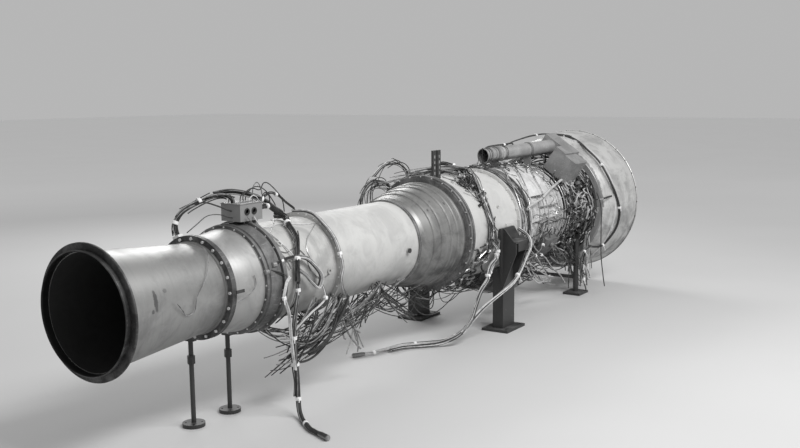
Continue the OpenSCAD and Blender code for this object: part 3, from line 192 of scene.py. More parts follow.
# %% Surface
class Surface:
    def __init__(self, name):
        self.material = bpy.data.materials.new(name)
        self.material.use_nodes = True
        self.tree = self.material.node_tree
        self.shader = next(n for n in self.tree.nodes if n.type == "BSDF_PRINCIPLED")
        self.start = Field(self.tree, None)
        self.place = self.start.node("ShaderNodeTexCoord", out=3)
        parts = self.start.node("ShaderNodeSeparateXYZ", Vector=self.place).socket.node.outputs
        self.x, self.y, self.z = (Field(self.tree, s) for s in parts)
        high = self.z - AXIS / 1000
        self.angle = self.start.maths("ARCTAN2", high, self.y)
        self.reach = (self.y * self.y + high * high).power(0.5)
        self.height = high
        facing = self.start.node("ShaderNodeSeparateXYZ", Vector=self.start.node("ShaderNodeNewGeometry", out=1))
        self.faces_up = Field(self.tree, facing.socket.node.outputs[2])
        across = Field(self.tree, facing.socket.node.outputs[1])
        self.outward = (across * self.y + self.faces_up * high) / self.reach.more(0.01)
        # Faces that point back at the axis; the recipes darken the colour there as painted shade inside the ducts.
        self.inside = self.outward.step(-0.15, -0.6)

    def spot(self, x, y, z):
        return self.start.node("ShaderNodeCombineXYZ", X=x, Y=y, Z=z)

    def rolled(self, along, about):
        """Position unrolled from the duct, scaled along the axis and round it."""
        return self.spot(self.x * along, self.angle * about, self.reach * 3.0)

    def noise(self, scale, detail=4.0, rough=0.55, at_place=None, shift=0.0, warp=0.0):
        where = self.place if at_place is None else at_place
        if shift:
            moved = (shift, shift * 1.7, shift * 0.6)
            where = self.start.node("ShaderNodeVectorMath", {"operation": "ADD"}, i0=where, i1=moved)
        return self.start.node("ShaderNodeTexNoise", Vector=where, Scale=scale, Detail=detail, Roughness=rough,
                               Distortion=warp)

    def cells(self, scale):
        return self.start.node("ShaderNodeTexVoronoi", Vector=self.place, Scale=scale)

    def number(self, name):
        """A value stored on the mesh, such as how far along a wire a point is."""
        return self.start.node("ShaderNodeAttribute", {"attribute_name": name}, out=2)

    def finish(self, colour, metal, rough, bump=None, strength=0.3, depth=0.001):
        for name, value in (("Base Color", colour), ("Metallic", metal), ("Roughness", rough)):
            target = self.shader.inputs[name]
            if isinstance(value, Field):
                self.tree.links.new(value.socket, target)
            else:
                target.default_value = grey(value) if name == "Base Color" else value
        if bump is not None:
            made = self.start.node("ShaderNodeBump", Strength=strength, Distance=depth, Height=bump)
            self.tree.links.new(made.socket, self.shader.inputs["Normal"])
        return self.material


print("surface helper ready")

# %% [markdown]
# ## Rolled steel sheet
# The ducts are satin sheet: fine lines round the axis from rolling and wiping, larger cloudy stains and a few dark
# runs.
# The sheet is darker where it turns under and near black on the inside of a duct: both are painted shade. One recipe
# with different tones serves every duct. Metals look dull when they are one value, so roughness follows the same masks
# as colour. The few stains that the photograph shows one by one, and a band of painted shade on the front of the
# shroud, are `marks`: a station, an angle, half a length in mm, half an angle in degrees and a strength, with a ragged
# edge. A strength below 0 makes a pale mark.

# %% Rolled sheet
def rolled_sheet(name, tone, dark, metal, rough, clouds, lines, seed, under_shade, specks, marks=()):
    s = Surface(name)
    fine = s.noise(1.0, 3.0, 0.6, s.rolled(260.0, 3.0), seed)
    wide = s.noise(1.0, 3.0, 0.5, s.rolled(34.0, 1.2), seed + 3)
    cloud = s.noise(5.0, 5.0, 0.62, None, seed + 5, 0.6)
    patch = s.noise(17.0, 4.0, 0.6, None, seed + 9).step(0.56, 0.72)
    runs = s.noise(1.0, 2.0, 0.5, s.spot(s.x * 42.0, s.angle * 0.5, s.reach), seed + 2).step(0.6, 0.74)
    # Lower side of a duct: the colour is darkened there as painted shade, and the roughness rises there.
    low = s.height.step(0.12, -0.34)
    stain = (cloud.step(0.38, 0.66) * clouds + patch * 0.3 * clouds + runs * 0.25 * clouds).limit()
    line = (fine - 0.5) * lines + (wide - 0.5) * lines * 0.7
    # The low term is painted shade on the lower side; the stain, line and speck terms are the sheet's own marks.
    level = 1.0 - stain * 0.72 - low * under_shade + line * 0.6
    if specks:
        spot = s.cells(60.0).step(0.16, 0.1) * s.noise(9.0, 2.0, 0.5, None, seed + 12).step(0.52, 0.6)
        level = level - spot * specks
    ragged = (s.noise(30.0, 4.0, 0.7, None, seed + 30) - 0.5) * 1.6
    for x, angle, half, half_angle, strength in marks:
        along = (s.x - (x - MIDDLE) / 1000) / (half / 1000)
        about = (s.angle - (math.pi - math.radians(angle))) / math.radians(half_angle)
        level = level - ((along * along + about * about).power(0.5) + ragged).step(1.0, 0.5) * strength
    # Inside a duct the colour goes near black: painted shade.
    colour = (s.inside * 0.9).towards(level.limit().towards(dark, tone), [0.16 * c for c in triple(dark)])
    roughness = (rough + stain * 0.16 + (fine - 0.5) * 0.22 + low * 0.12 + s.inside * 0.2).limit()
    dents = s.noise(3.2, 2.0, 0.5, None, seed + 20) * 3.0 + fine * 0.12
    return s.finish(colour, metal, roughness, dents, 0.22, 0.004)


print("rolled sheet recipe ready")

# %% [markdown]
# ## Dark rings, castings, paint and plated steel
# A joint ring is blackened steel whose edges have worn bright. Castings are matt with a fine grain. Painted stands are
# nearly black, chipped at the edges. Each recipe mixes two tones by a mask and lets the same mask shift roughness. Worn
# metal also carries painted light: faces that point up are lighter, and the inside of a duct is painted dark as shade.

# %% Other metals and paint
def worn_metal(name, tone, dark, metal, rough, grain, wear, blotch, seed, bump=0.25, depth=0.0008):
    s = Surface(name)
    cloud = s.noise(blotch, 5.0, 0.62, None, seed, 0.4)
    fine = s.noise(grain, 3.0, 0.6, None, seed + 4)
    scratch = s.noise(1.0, 2.0, 0.5, s.spot(s.x * 14.0, s.y * 150.0, s.z * 60.0), seed + 7).step(0.64, 0.7)
    mask = (cloud.step(0.36, 0.68) * 0.75 + (fine - 0.5) * 0.6 + scratch * wear).limit()
    # Faces that point up are painted lighter: painted light from above.
    up = s.faces_up.step(-0.6, 0.8)
    # Inside a duct the colour goes dark: painted shade.
    colour = (s.inside * 0.85).towards(
        (mask * 0.8 + up * 0.2).limit().towards(dark, tone), [0.3 * c for c in triple(dark)])
    return s.finish(colour, metal, (rough + 0.2 * (1.0 - mask)).limit(), fine, bump, depth)


def chipped_paint(name, tone, bare, rough, seed):
    s = Surface(name)
    chips = s.noise(26.0, 6.0, 0.72, None, seed).step(0.66, 0.7)
    dust = (s.faces_up.step(0.4, 0.95) * s.noise(11.0, 4.0, 0.6, None, seed + 3).step(0.3, 0.8)).limit()
    grain = s.noise(220.0, 2.0, 0.5, None, seed + 6)
    cloud = s.noise(5.0, 4.0, 0.6, None, seed + 9)
    base = (cloud * 0.9).limit().towards([0.72 * c for c in triple(tone)], [1.3 * c for c in triple(tone)])
    dusty = (dust * 0.4).towards(base, 0.3)
    colour = chips.towards(dusty, bare)
    roughness = (rough + dust * 0.2 - chips * 0.12).limit()
    return s.finish(colour, chips * 0.7, roughness, grain + chips * -1.5, 0.25, 0.0006)


def heat_stained(name, tone, dark, metal, rough, seed):
    """Steel near the burner: bands of darker tone across the axis, soot in patches."""
    s = Surface(name)
    bands = s.noise(1.0, 4.0, 0.6, s.spot(s.x * 22.0, s.angle * 0.8, 0.0), seed, 0.5)
    soot = s.noise(9.0, 5.0, 0.65, None, seed + 4, 0.7).step(0.42, 0.7)
    fine = s.noise(140.0, 2.0, 0.5, None, seed + 8)
    mask = (bands * 1.25 - soot * 0.55 + (fine - 0.5) * 0.3).limit()
    return s.finish(mask.towards(dark, tone), metal, (rough + soot * 0.25).limit(), fine + bands, 0.25, 0.001)


print("metal recipes ready")

# %% [markdown]
# ## Braided sleeves, tape and plain wire
# Wire bundles lie in woven sleeves or are wrapped in tape, and both patterns run along the wire. The mesh code below
# stores two numbers on each vertex, `along` in metres and `turn` from 0 to 1 round the wire, and these recipes read
# them: crossed waves give a braid, one slanted wave gives the edge of a wound tape.

# %% Sleeve, tape and wire
FULL_TURN = 6.2832


def braided(name, tone, dark, pitch, strands, rough, seed):
    s = Surface(name)
    along, turn = s.number("along"), s.number("turn")
    one_way = (along * (1 / pitch) + turn * strands) * FULL_TURN
    other_way = (along * (1 / pitch) - turn * strands) * FULL_TURN
    weave = s.start.maths("SINE", one_way) * s.start.maths("SINE", other_way)
    worn = s.noise(24.0, 4.0, 0.6, None, seed).step(0.4, 0.75)
    mask = (weave * 0.3 + 0.35 + worn * 0.5).limit()
    return s.finish(mask.towards(dark, tone), 0.0, (rough - worn * 0.15).limit(), weave, 0.5, 0.0006)


def wound_tape(name, tone, dark, pitch, rough, seed):
    s = Surface(name)
    lap = s.start.maths("FRACT", s.number("along") * (1 / pitch) + s.number("turn"))
    edge = lap.step(0.12, 0.0)
    stain = s.noise(15.0, 5.0, 0.62, None, seed, 0.5).step(0.4, 0.7)
    mask = (1.0 - edge * 0.45 - stain * 0.55).limit()
    return s.finish(mask.towards(dark, tone), 0.0, (rough + stain * 0.15).limit(), lap, 0.6, 0.0012)


def wire_skin(name, tone, dark, rough, metal, seed):
    s = Surface(name)
    dirt = s.noise(33.0, 4.0, 0.6, None, seed).step(0.38, 0.7)
    fine = s.noise(300.0, 2.0, 0.5, None, seed + 2)
    colour = (1.0 - dirt * 0.8).limit().towards(dark, tone)
    return s.finish(colour, metal, (rough + dirt * 0.25).limit(), fine, 0.15, 0.0004)


print("cable recipes ready")

# %% [markdown]
# ## One material for every slot
# The record lists the finishes of the real machine. Each CAD node gets the recipe for its slot; a few nodes that look
# different in the photograph get their own, such as the very pale straight duct and the mottled bell. Tones run from 0
# for black to 1 for white. Every recipe has a seed that shifts its noise, so that no two finishes wear the same stains.

# %% Materials of the CAD nodes
pale_duct = rolled_sheet("pale_duct", (0.54, 0.54, 0.53), 0.27, 0.1, 0.6, 0.5, 0.25, 2.0, 0.35, 0.4,
    [(1540, -6.0, 16, 3.2, 0.5)])
finish_of = {
    "mouth_ring": worn_metal("blued_mouth", 0.16, 0.035, 0.7, 0.42, 90.0, 0.5, 9.0, 1.0),
    "inlet_cone": rolled_sheet("satin_cone", (0.40, 0.40, 0.395), 0.15, 0.7, 0.4, 0.5, 0.6, 4.0, 0.55, 0.0,
        [(176, 12, 15, 14, 0.9), (150, 1.5, 12, 3.0, 0.7), (250, 19.5, 16, 2.6, 0.5)]),
    "joint_1_rings": worn_metal("blackened_ring", 0.2, 0.05, 0.6, 0.45, 90.0, 0.6, 8.0, 2.0),
    "flared_spool": rolled_sheet("wiped_spool", (0.46, 0.46, 0.455), 0.22, 0.55, 0.46, 0.65, 0.45, 8.0, 0.35, 0.2,
        [(800, 12, 30, 3.0, -0.35), (860, 6, 10, 7.0, -0.4), (820, -16, 26, 1.6, -0.4)]),
    "joint_2_ring": worn_metal("grey_band", 0.3, 0.1, 0.6, 0.46, 70.0, 0.5, 7.0, 3.0),
    "rake_spool": rolled_sheet("pale_spool", (0.5, 0.5, 0.49), 0.2, 0.12, 0.6, 0.65, 0.3, 11.0, 0.35, 0.5),
    "straight_duct": pale_duct,
    "coupling_ring": worn_metal("dull_coupling", 0.5, 0.16, 0.6, 0.42, 80.0, 0.5, 8.0, 4.0),
    "ribbed_bell": rolled_sheet("mottled_bell", (0.3, 0.3, 0.295), 0.1, 0.6, 0.44, 0.85, 0.6, 15.0, 0.4, 0.3,
        [(2665, 41.5, 12, 2.4, 0.7), (2854, 43.4, 12, 2.4, 0.7), (2743, 52.0, 10, 2.0, 0.5)]),
    "joint_4_ring": worn_metal("sooty_ring", 0.34, 0.09, 0.5, 0.5, 60.0, 0.5, 9.0, 5.0),
    "engine_duct": rolled_sheet("white_engine_duct", (0.62, 0.62, 0.61), 0.32, 0.2, 0.44, 0.4, 0.2, 19.0, 0.45, 0.3),
    "front_frame": worn_metal("cast_frame", 0.45, 0.2, 0.4, 0.5, 120.0, 0.3, 8.0, 6.0),
    "nose_bullet": worn_metal("turned_nose", 0.5, 0.28, 0.8, 0.35, 120.0, 0.4, 7.0, 7.0),
}
by_slot = {
    "fastener_steel": worn_metal("plated_steel", 0.88, 0.6, 0.3, 0.3, 140.0, 0.3, 20.0, 8.0),
    "pale_casting": worn_metal("pale_casting", 0.84, 0.48, 0.2, 0.45, 160.0, 0.3, 10.0, 9.0, 0.4, 0.001),
    "blades": worn_metal("polished_blades", 0.6, 0.35, 0.9, 0.28, 100.0, 0.4, 12.0, 10.0),
    "hot_steel": heat_stained("burner_steel", 0.15, 0.03, 0.7, 0.4, 11.0),
    "bearing_steel": worn_metal("ground_steel", 0.6, 0.4, 0.95, 0.25, 200.0, 0.2, 12.0, 12.0),
    "pipe_steel": worn_metal("bright_pipe", 0.62, 0.3, 0.85, 0.3, 120.0, 0.4, 16.0, 13.0),
    # The one mark darkens the front band of the shroud all round: painted shade.
    "shroud_sheet": rolled_sheet("shroud_sheet", (0.78, 0.78, 0.77), 0.26, 0.5, 0.34, 0.8, 0.5, 23.0, 0.5, 0.5,
        [(5148, 0, 30, 600, 0.95)]),
    "bracket_steel": worn_metal("bracket_steel", 0.4, 0.2, 0.7, 0.4, 100.0, 0.4, 12.0, 14.0),
    "air_tube_sheet": worn_metal("air_tube_sheet", 0.56, 0.3, 0.5, 0.34, 80.0, 0.5, 6.0, 15.0),
    "folded_sheet": worn_metal("folded_sheet", 0.4, 0.2, 0.25, 0.42, 70.0, 0.6, 5.0, 16.0),
    "gear_casting": worn_metal("oily_casting", 0.32, 0.12, 0.4, 0.45, 130.0, 0.3, 11.0, 17.0, 0.5, 0.0012),
    "unit_paint": chipped_paint("unit_paint", 0.16, 0.55, 0.42, 18.0),
    "lever_steel": worn_metal("lever_steel", 0.7, 0.4, 0.9, 0.28, 140.0, 0.3, 18.0, 19.0),
    "box_paint": chipped_paint("box_paint", 0.24, 0.6, 0.45, 20.0),
    "cable_sleeve": braided("dark_sleeve", 0.13, 0.03, 0.012, 8.0, 0.7, 21.0),
    "pale_cable": wound_tape("pale_tape", 0.6, 0.25, 0.03, 0.55, 22.0),
    "plug_shell": worn_metal("plug_shell", 0.5, 0.25, 0.8, 0.35, 120.0, 0.4, 20.0, 23.0),
    "support_paint": chipped_paint("stand_paint", 0.035, 0.3, 0.48, 24.0),
    "flange_steel": worn_metal("machined_flange", 0.5, 0.28, 0.8, 0.36, 110.0, 0.4, 10.0, 25.0),
    "engine_duct_sheet": finish_of["engine_duct"], "dark_ring": finish_of["joint_4_ring"],
    "steel_sheet": finish_of["inlet_cone"],
}
slot_of = {row["node"]: row["material_slot"] for row in frame["record"]["subparts"]}
for name, node in nodes.items():
    node.data.materials.clear()
    node.data.materials.append(finish_of.get(name) or by_slot[slot_of[name]])
print(len(bpy.data.materials), "materials on", len(nodes), "nodes")

# %% [markdown]
# ## Building with rings
# A wire, a pipe or a hose is the same thing: a ring of points carried along a smooth line. Carrying the ring from point
# to point without twisting it keeps the tube round in sharp bends.

# %% Smooth lines
def smooth(points, steps=4):
    """A smooth line through given points (Catmull-Rom)."""
    pts = [Vector(p) for p in points]
    line = []
    for k in range(len(pts) - 1):
        a, b, c, d = pts[max(k - 1, 0)], pts[k], pts[k + 1], pts[min(k + 2, len(pts) - 1)]
        for i in range(steps):
            t = i / steps
            line.append(0.5 * (2 * b + (c - a) * t + (2 * a - 5 * b + 4 * c - d) * t * t
                               + (3 * b - a - 3 * c + d) * t ** 3))
    return line + [pts[-1]]


def frames_along(line):
    """A direction and two crosswise directions at each point, carried on without twist."""
    made, side = [], None
    for k, point in enumerate(line):
        ahead = (line[min(k + 1, len(line) - 1)] - line[max(k - 1, 0)]).normalized()
        if side is None:
            side = ahead.orthogonal().normalized()
        side = (side - ahead * side.dot(ahead)).normalized()
        made.append((ahead, side.copy(), ahead.cross(side)))
    return made


def length_of(line):
    return sum((b - a).length for a, b in zip(line, line[1:]))


print("a bend of three points is", round(length_of(smooth([(0, 0, 0), (1, 0, 0), (1, 1, 0)])), 3), "m long")

# %% [markdown]
# ## One mesh from many tubes
# `Shape` collects tubes, turned fittings and blocks into one mesh and remembers which material each face takes. It also
# stores the distance along the wire and the place round it for the braid and tape recipes. `build` makes the object,
# lets it ride on the fixed machine and hides the CAD node that it stands for, where there is one.

# %% Shape
CHAMFER = 0.12  # share of a block's half thickness
SHARP_EDGE = 40  # degrees between faces that stay sharp


class Shape:
    def __init__(self, name, materials):
        self.name, self.materials = name, materials
        self.verts, self.faces, self.tones, self.along, self.turn = [], [], [], [], []

    def ring(self, centre, radius, side, over, far, sides):
        for i in range(sides):
            a = 2 * math.pi * i / sides
            self.verts.append(centre + radius * (math.cos(a) * side + math.sin(a) * over))
            self.along.append(far)
            self.turn.append(abs(2 * i / sides - 1))

    def skin(self, first, rings, sides, tone):
        """Faces between rings that lie one after the other, and the two ends."""
        for k in range(rings - 1):
            for i in range(sides):
                a, b = first + k * sides + i, first + k * sides + (i + 1) % sides
                self.faces.append((a, b, b + sides, a + sides))
        last = first + (rings - 1) * sides
        self.faces += [tuple(range(first + sides - 1, first - 1, -1)), tuple(range(last, last + sides))]
        self.tones += [tone] * ((rings - 1) * sides + 2)

    def tube(self, line, radius, tone, sides):
        first, far = len(self.verts), 0.0
        for k, (point, (_, side, over)) in enumerate(zip(line, frames_along(line))):
            far += (point - line[k - 1]).length if k else 0.0
            self.ring(point, radius, side, over, far, sides)
        self.skin(first, len(line), sides, tone)

    def turned(self, centre, axis, outline, tone, sides):
        """A solid of revolution: outline is a list of (radius, distance along axis)."""
        ahead = Vector(axis).normalized()
        side = ahead.orthogonal().normalized()
        over = ahead.cross(side)
        first = len(self.verts)
        for radius, far in outline:
            self.ring(Vector(centre) + ahead * far, radius, side, over, far, sides)
        self.skin(first, len(outline), sides, tone)

    def block(self, centre, out, ahead, size, tone):
        """A box with chamfered long edges: size is (along, across, outward)."""
        up = Vector(out).normalized()
        fore = (Vector(ahead) - up * Vector(ahead).dot(up)).normalized()
        wide = up.cross(fore)
        long, broad, tall = (v / 2 for v in size)
        cut = CHAMFER * min(broad, tall)
        ring = [(-broad + cut, -tall), (broad - cut, -tall), (broad, -tall + cut), (broad, tall - cut),
                (broad - cut, tall), (-broad + cut, tall), (-broad, tall - cut), (-broad, -tall + cut)]
        first = len(self.verts)
        for far in (-long, long):
            for across, high in ring:
                self.verts.append(Vector(centre) + fore * far + wide * across + up * high)
                self.along.append(far)
                self.turn.append(0.0)
        for i in range(8):
            j = (i + 1) % 8
            self.faces.append((first + i, first + j, first + 8 + j, first + 8 + i))
        self.faces += [tuple(range(first + 7, first - 1, -1)), tuple(range(first + 8, first + 16))]
        self.tones += [tone] * 10

    def build(self, slot, stands_for=(), body="machine"):
        mesh = bpy.data.meshes.new(self.name)
        mesh.from_pydata([tuple(v) for v in self.verts], [], self.faces)
        for key, values in (("along", self.along), ("turn", self.turn)):
            mesh.attributes.new(key, "FLOAT", "POINT").data.foreach_set("value", values)
        for material in self.materials:
            mesh.materials.append(material)
        mesh.polygons.foreach_set("material_index", self.tones)
        mesh.polygons.foreach_set("use_smooth", [True] * len(self.faces))
        mesh.set_sharp_from_angle(angle=math.radians(SHARP_EDGE))
        piece = bpy.data.objects.new(self.name, mesh)
        bpy.context.scene.collection.objects.link(piece)
        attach(piece, body)
        if stands_for:
            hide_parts(*stands_for)
        print(self.name, len(self.faces), "faces, lowest point", round(min(v[2] for v in self.verts), 3))
        return piece


print("shape helper ready")

# %% [markdown]
# ## Wire finishes
# Eight finishes serve every wire, pipe, tie and fitting. Each has a short name, which is its place in the list.

# %% Wire finishes
tones = [
    braided("black_wire_sleeve", 0.055, 0.012, 0.01, 6.0, 0.62, 1.0),
    wire_skin("dark_wire", 0.05, 0.012, 0.46, 0.0, 2.0),
    wire_skin("grey_wire", 0.26, 0.08, 0.45, 0.0, 3.0),
    wire_skin("pale_wire", 0.62, 0.32, 0.5, 0.0, 4.0),
    wire_skin("bright_tube", 0.66, 0.35, 0.3, 0.85, 5.0),
    wound_tape("white_tie_tape", 0.85, 0.6, 0.02, 0.5, 6.0),
    wound_tape("taped_hose", 0.5, 0.22, 0.03, 0.55, 7.0),
    by_slot["plug_shell"],
]
SLEEVE, DARK, GREY, PALE, TUBE, TIE, TAPED, SHELL = range(8)
print(len(tones), "wire finishes ready")

# %% [markdown]
# ## Looms: many thin wires that look like one cable
# A loom is a bundle of separate insulated wires, held together by ties of tape every hand's width. A single smooth tube
# would look like a pipe, so each wire here is its own thin tube that winds slowly round the middle line, with its own
# thickness, colour and slack. The slow wandering matters more than the number of wires: real wires were laid by hand
# and cross each other, which gives the uneven outline and the broken highlights that the eye reads as cable.

# %% Loom and tie
TAIL_CLEAR = 0.08  # m over the floor, below which a tie has no tail
dice = random.Random(7)


def loom(shape, line, radius, count, wire, kinds, twist, slack):
    """Wires laid in a slow spiral round a line; kinds are the tones to draw from."""
    cross = frames_along(line)
    for k in range(count):
        start, out = dice.uniform(0, 2 * math.pi), radius * math.sqrt((k + 0.6) / count)
        beat, phase = dice.uniform(3, 8), dice.uniform(0, 6.28)
        path, far = [], 0.0
        for i, (point, (ahead, side, over)) in enumerate(zip(line, cross)):
            far += (point - line[i - 1]).length if i else 0.0
            a = start + twist * far + 0.5 * math.sin(beat * far + phase)
            r = out * (1 - slack * 0.5 * (1 + math.sin(beat * 1.7 * far + phase)))
            path.append(point + r * (math.cos(a) * side + math.sin(a) * over))
        shape.tube(path, wire * dice.uniform(0.75, 1.2), dice.choice(kinds), 5)


def tie(shape, line, place, radius, width):
    """A band of tape round a loom, at a share of its length, with a short tail where it is clear of the floor."""
    k = min(int(place * (len(line) - 1)), len(line) - 2)
    ahead = (line[k + 1] - line[k]).normalized()
    shape.turned(line[k] - ahead * width / 2, ahead, [
        (radius * 0.9, 0), (radius * 1.06, width * 0.1), (radius * 1.08, width * 0.5),
        (radius * 1.05, width * 0.9), (radius * 0.9, width)], TIE, 10)
    if line[k].z > TAIL_CLEAR:
        out = ahead.orthogonal().normalized()
        end = [line[k] + out * radius, line[k] + out * (radius + 0.012) - Vector((0, 0, 0.004)),
               line[k] + out * (radius + 0.02) - Vector((0, 0, 0.022))]
        shape.tube(smooth(end, 2), 0.003, TIE, 4)


print("looms are spirals of thin tubes")

# %% [markdown]
# ## The two free cables
# Two bundles leave the machine and end in connectors: one hangs from the rake spool to the floor, one leaves the wide
# duct, runs down past the pedestal and along the floor under the duct. The core of each is a plain tube on the same
# line as the CAD cable, so that its measured length and thickness stay true; the wires round it and the white ties are
# a piece of their own that lies on the core.

# %% Free cables
LYING = -763  # height of a cable's middle line on the floor, mm from the engine axis
CORE_RADIUS, WIRE_LAYER, TIE_RADIUS = 0.0128, 0.0136, 0.0155  # m


def straight_on(end, way, far):
    return at(*(Vector(end) + far * Vector(way).normalized()))


front_end, front_way = (1184, -309, -30), (-4, -3, -40)
engine_end, engine_way = (3372, -418, -140), (-10, 2, -40)
front_points = [straight_on(front_end, front_way, far) for far in (0.8, 30, 60)] + [at(*p) for p in [
    (1150, -322, -170), (1122, -328, -260), (1115, -330, -350), (1125, -330, -470), (1136, -330, -590),
    (1130, -338, -680), (1108, -362, -738), (1068, -412, LYING), (1014, -482, LYING), (960, -560, LYING),
    (945, -600, LYING), (930, -640, LYING)]]
floor_points = [straight_on(engine_end, engine_way, far) for far in (0.8, 30, 60)] + [at(*p) for p in [
    (3290, -405, -300), (3200, -400, -390), (3110, -400, -470), (3060, -392, -560), (3052, -350, -655),
    (3040, -275, -733), (2974, -203, LYING), (2845, -153, LYING), (2742, -89, LYING), (2641, -26, LYING),
    (2498, 5, LYING), (2395, 30, LYING), (2365, 48, LYING), (2335, 66, LYING)]]


def cable(name, points, node, count, wire, kinds, slot, ties, core_tone):
    line = smooth(points, 4)
    core = Shape(name, tones)
    core.tube(line, CORE_RADIUS, core_tone, 10)
    core = core.build(slot=slot, stands_for=[node])
    wires = Shape(name + "_wires", tones)
    loom(wires, line, WIRE_LAYER, count, wire, kinds, 2.6, 0.06)
    for place in ties:
        tie(wires, line, place, TIE_RADIUS, 0.022)
    wires = wires.build(slot=slot)
    length_of(line)
    print(name, round(length_of(line), 3), "m long")


cable("front_cable_loom", front_points, "front_cable", 22, 0.0033, [DARK, SLEEVE, DARK, GREY, PALE],
      "cable_sleeve", (0.1, 0.34, 0.58, 0.8), SLEEVE)
cable("floor_cable_loom", floor_points, "floor_cable", 14, 0.0030, [PALE, GREY, PALE, DARK],
      "pale_cable", (0.08, 0.2, 0.34, 0.52, 0.7, 0.88), TAPED)

# %% [markdown]
# ## Floor, sky and lamps
# The engine should be judged by itself, so it stands on a plain pale floor under soft lamps. One large lamp up on the
# near side gives the long highlights on the ducts; a weaker one fills the far side. Where a camera ray meets no
# surface it sees an even grey. The sky has three tones: the one that is seen, a darker one that mirrors show, which
# keeps the steel from looking white, and the one that lights the machine. The floor gets paler far away. Each lamp is
# given by its place, its aim, its size in metres and its power in watts.

# %% Studio
FLOOR_HALF = 60  # m
NEAR_FLOOR, FAR_FLOOR = 0.52, 0.9
SKY_SEEN, SKY_IN_MIRRORS, SKY_LIGHT = (0.47, 0.47, 0.47), (0.27, 0.27, 0.27), (0.52, 0.52, 0.52)
LAMPS = (
    ("near_lamp", (-0.7, -4.9, 5.8), (0.6, 0, 0.7), (5.4, 1.6), 460),
    ("far_lamp", (3.5, 4.6, 4.6), (0.6, 0, 0.9), (4.0, 1.4), 200))


def studio_floor():
    mesh = bpy.data.meshes.new("studio_floor")
    corners = [(-FLOOR_HALF, -FLOOR_HALF, 0), (FLOOR_HALF, -FLOOR_HALF, 0), (FLOOR_HALF, FLOOR_HALF, 0),
               (-FLOOR_HALF, FLOOR_HALF, 0)]
    mesh.from_pydata(corners, [], [(0, 1, 2, 3)])
    floor = bpy.data.objects.new("studio_floor", mesh)
    bpy.context.scene.collection.objects.link(floor)
    s = Surface("studio_floor")
    far = (s.x * s.x + s.y * s.y).power(0.5).step(3.5, 14.0)
    mask = (s.noise(0.6, 2.0) * 0.1 + far * 0.9).limit()
    mesh.materials.append(s.finish(mask.towards(NEAR_FLOOR, FAR_FLOOR), 0.0, 0.9))


def studio_sky():
    world = bpy.context.scene.world or bpy.data.worlds.new("studio_sky")
    bpy.context.scene.world = world
    world.use_nodes = True
    tree = world.node_tree
    path = Field(tree, None).node("ShaderNodeLightPath").socket.node.outputs
    camera_ray, mirror_ray, glass_ray = (
        Field(tree, path[key]) for key in ("Is Camera Ray", "Is Glossy Ray", "Is Transmission Ray"))
    tone = camera_ray.more(glass_ray).towards(mirror_ray.towards(SKY_LIGHT, SKY_IN_MIRRORS), SKY_SEEN)
    back = tree.nodes["Background"]
    tree.links.new(tone.socket, back.inputs["Color"])
    back.inputs["Strength"].default_value = 1.0


def studio_lamps():
    for name, place, aim, size, power in LAMPS:
        light = bpy.data.lights.new(name, "AREA")
        light.shape, light.size, light.size_y, light.energy = "RECTANGLE", size[0], size[1], power
        lamp = bpy.data.objects.new(name, light)
        lamp.location = place
        lamp.rotation_euler = (Vector(aim) - Vector(place)).to_track_quat("-Z", "Y").to_euler()
        bpy.context.scene.collection.objects.link(lamp)


studio_floor()
studio_sky()
studio_lamps()
print("floor, sky and", len(LAMPS), "lamps ready")

# %% [markdown]
# ## Fixed looms on the inlet ducts
# Measuring wires run round the ducts from the pressure and temperature taps to the junction box and on to the free
# cable. Their lines were read from the photograph. Four short helpers cover them all: `wrapped` lays a line over a
# round casing, `beside` in an upright plane next to it, `through` anywhere, and `stray` adds loose single wires near a
# line. `bunch` is a loom with its ties.

# %% Helpers for routes
def wrapped(radius, *stations, steps=5):
    """A smooth line over the casing: each station is (x, angle) or (x, angle, radius), in millimetres."""
    return smooth([round_axis(p[0], p[1], p[2] if len(p) > 2 else radius) for p in stations], steps)


def beside(y, *stations):
    """A smooth line in the upright plane at y: each station is (x, height) or (x, height, y)."""
    return smooth([at(p[0], p[2] if len(p) > 2 else y, p[1]) for p in stations], 5)


def bunch(shape, line, radius, count, wire, kinds, ties=(), twist=2.2, slack=0.3):
    loom(shape, line, radius, count, wire, kinds, twist, slack)
    for place in ties:
        tie(shape, line, place, radius + wire, 0.02)


def through(points, steps=4):
    return smooth([at(*p) for p in points], steps)


def stray(shape, line, count, spread, wire, kinds):
    """Loose single wires that keep near a line for a part of it."""
    for k in range(count):
        first = dice.randint(0, max(len(line) // 2, 1))
        part = line[first:first + dice.randint(len(line) // 3, len(line))]
        if len(part) < 4:
            continue
        drift = [Vector([dice.uniform(-1, 1) * spread for _ in range(3)]) for _ in range(3)]
        moved = []
        for i, point in enumerate(part):
            t = i / (len(part) - 1)
            moved.append(point + drift[0] * (1 - t) ** 2 + drift[1] * 2 * t * (1 - t) + drift[2] * t * t)
        shape.tube(moved, wire * dice.uniform(0.7, 1.3), dice.choice(kinds), 5)


DARKS = [DARK, SLEEVE, DARK, SLEEVE, GREY]
MIXED = [DARK, SLEEVE, GREY, PALE, DARK]
print("a line over the top of the duct is", round(length_of(wrapped(300, (1500, 0), (1500, 90), (1500, 180))), 3), "m")

# %% [markdown]
# ## The bundles held by the clips
# Three thick bundles are CAD solids, because the clips hold them. The looms here follow exactly the same lines and
# stand for them, so the clips still grip them. Two of them go on as the free cables, the third loops over the junction
# box.

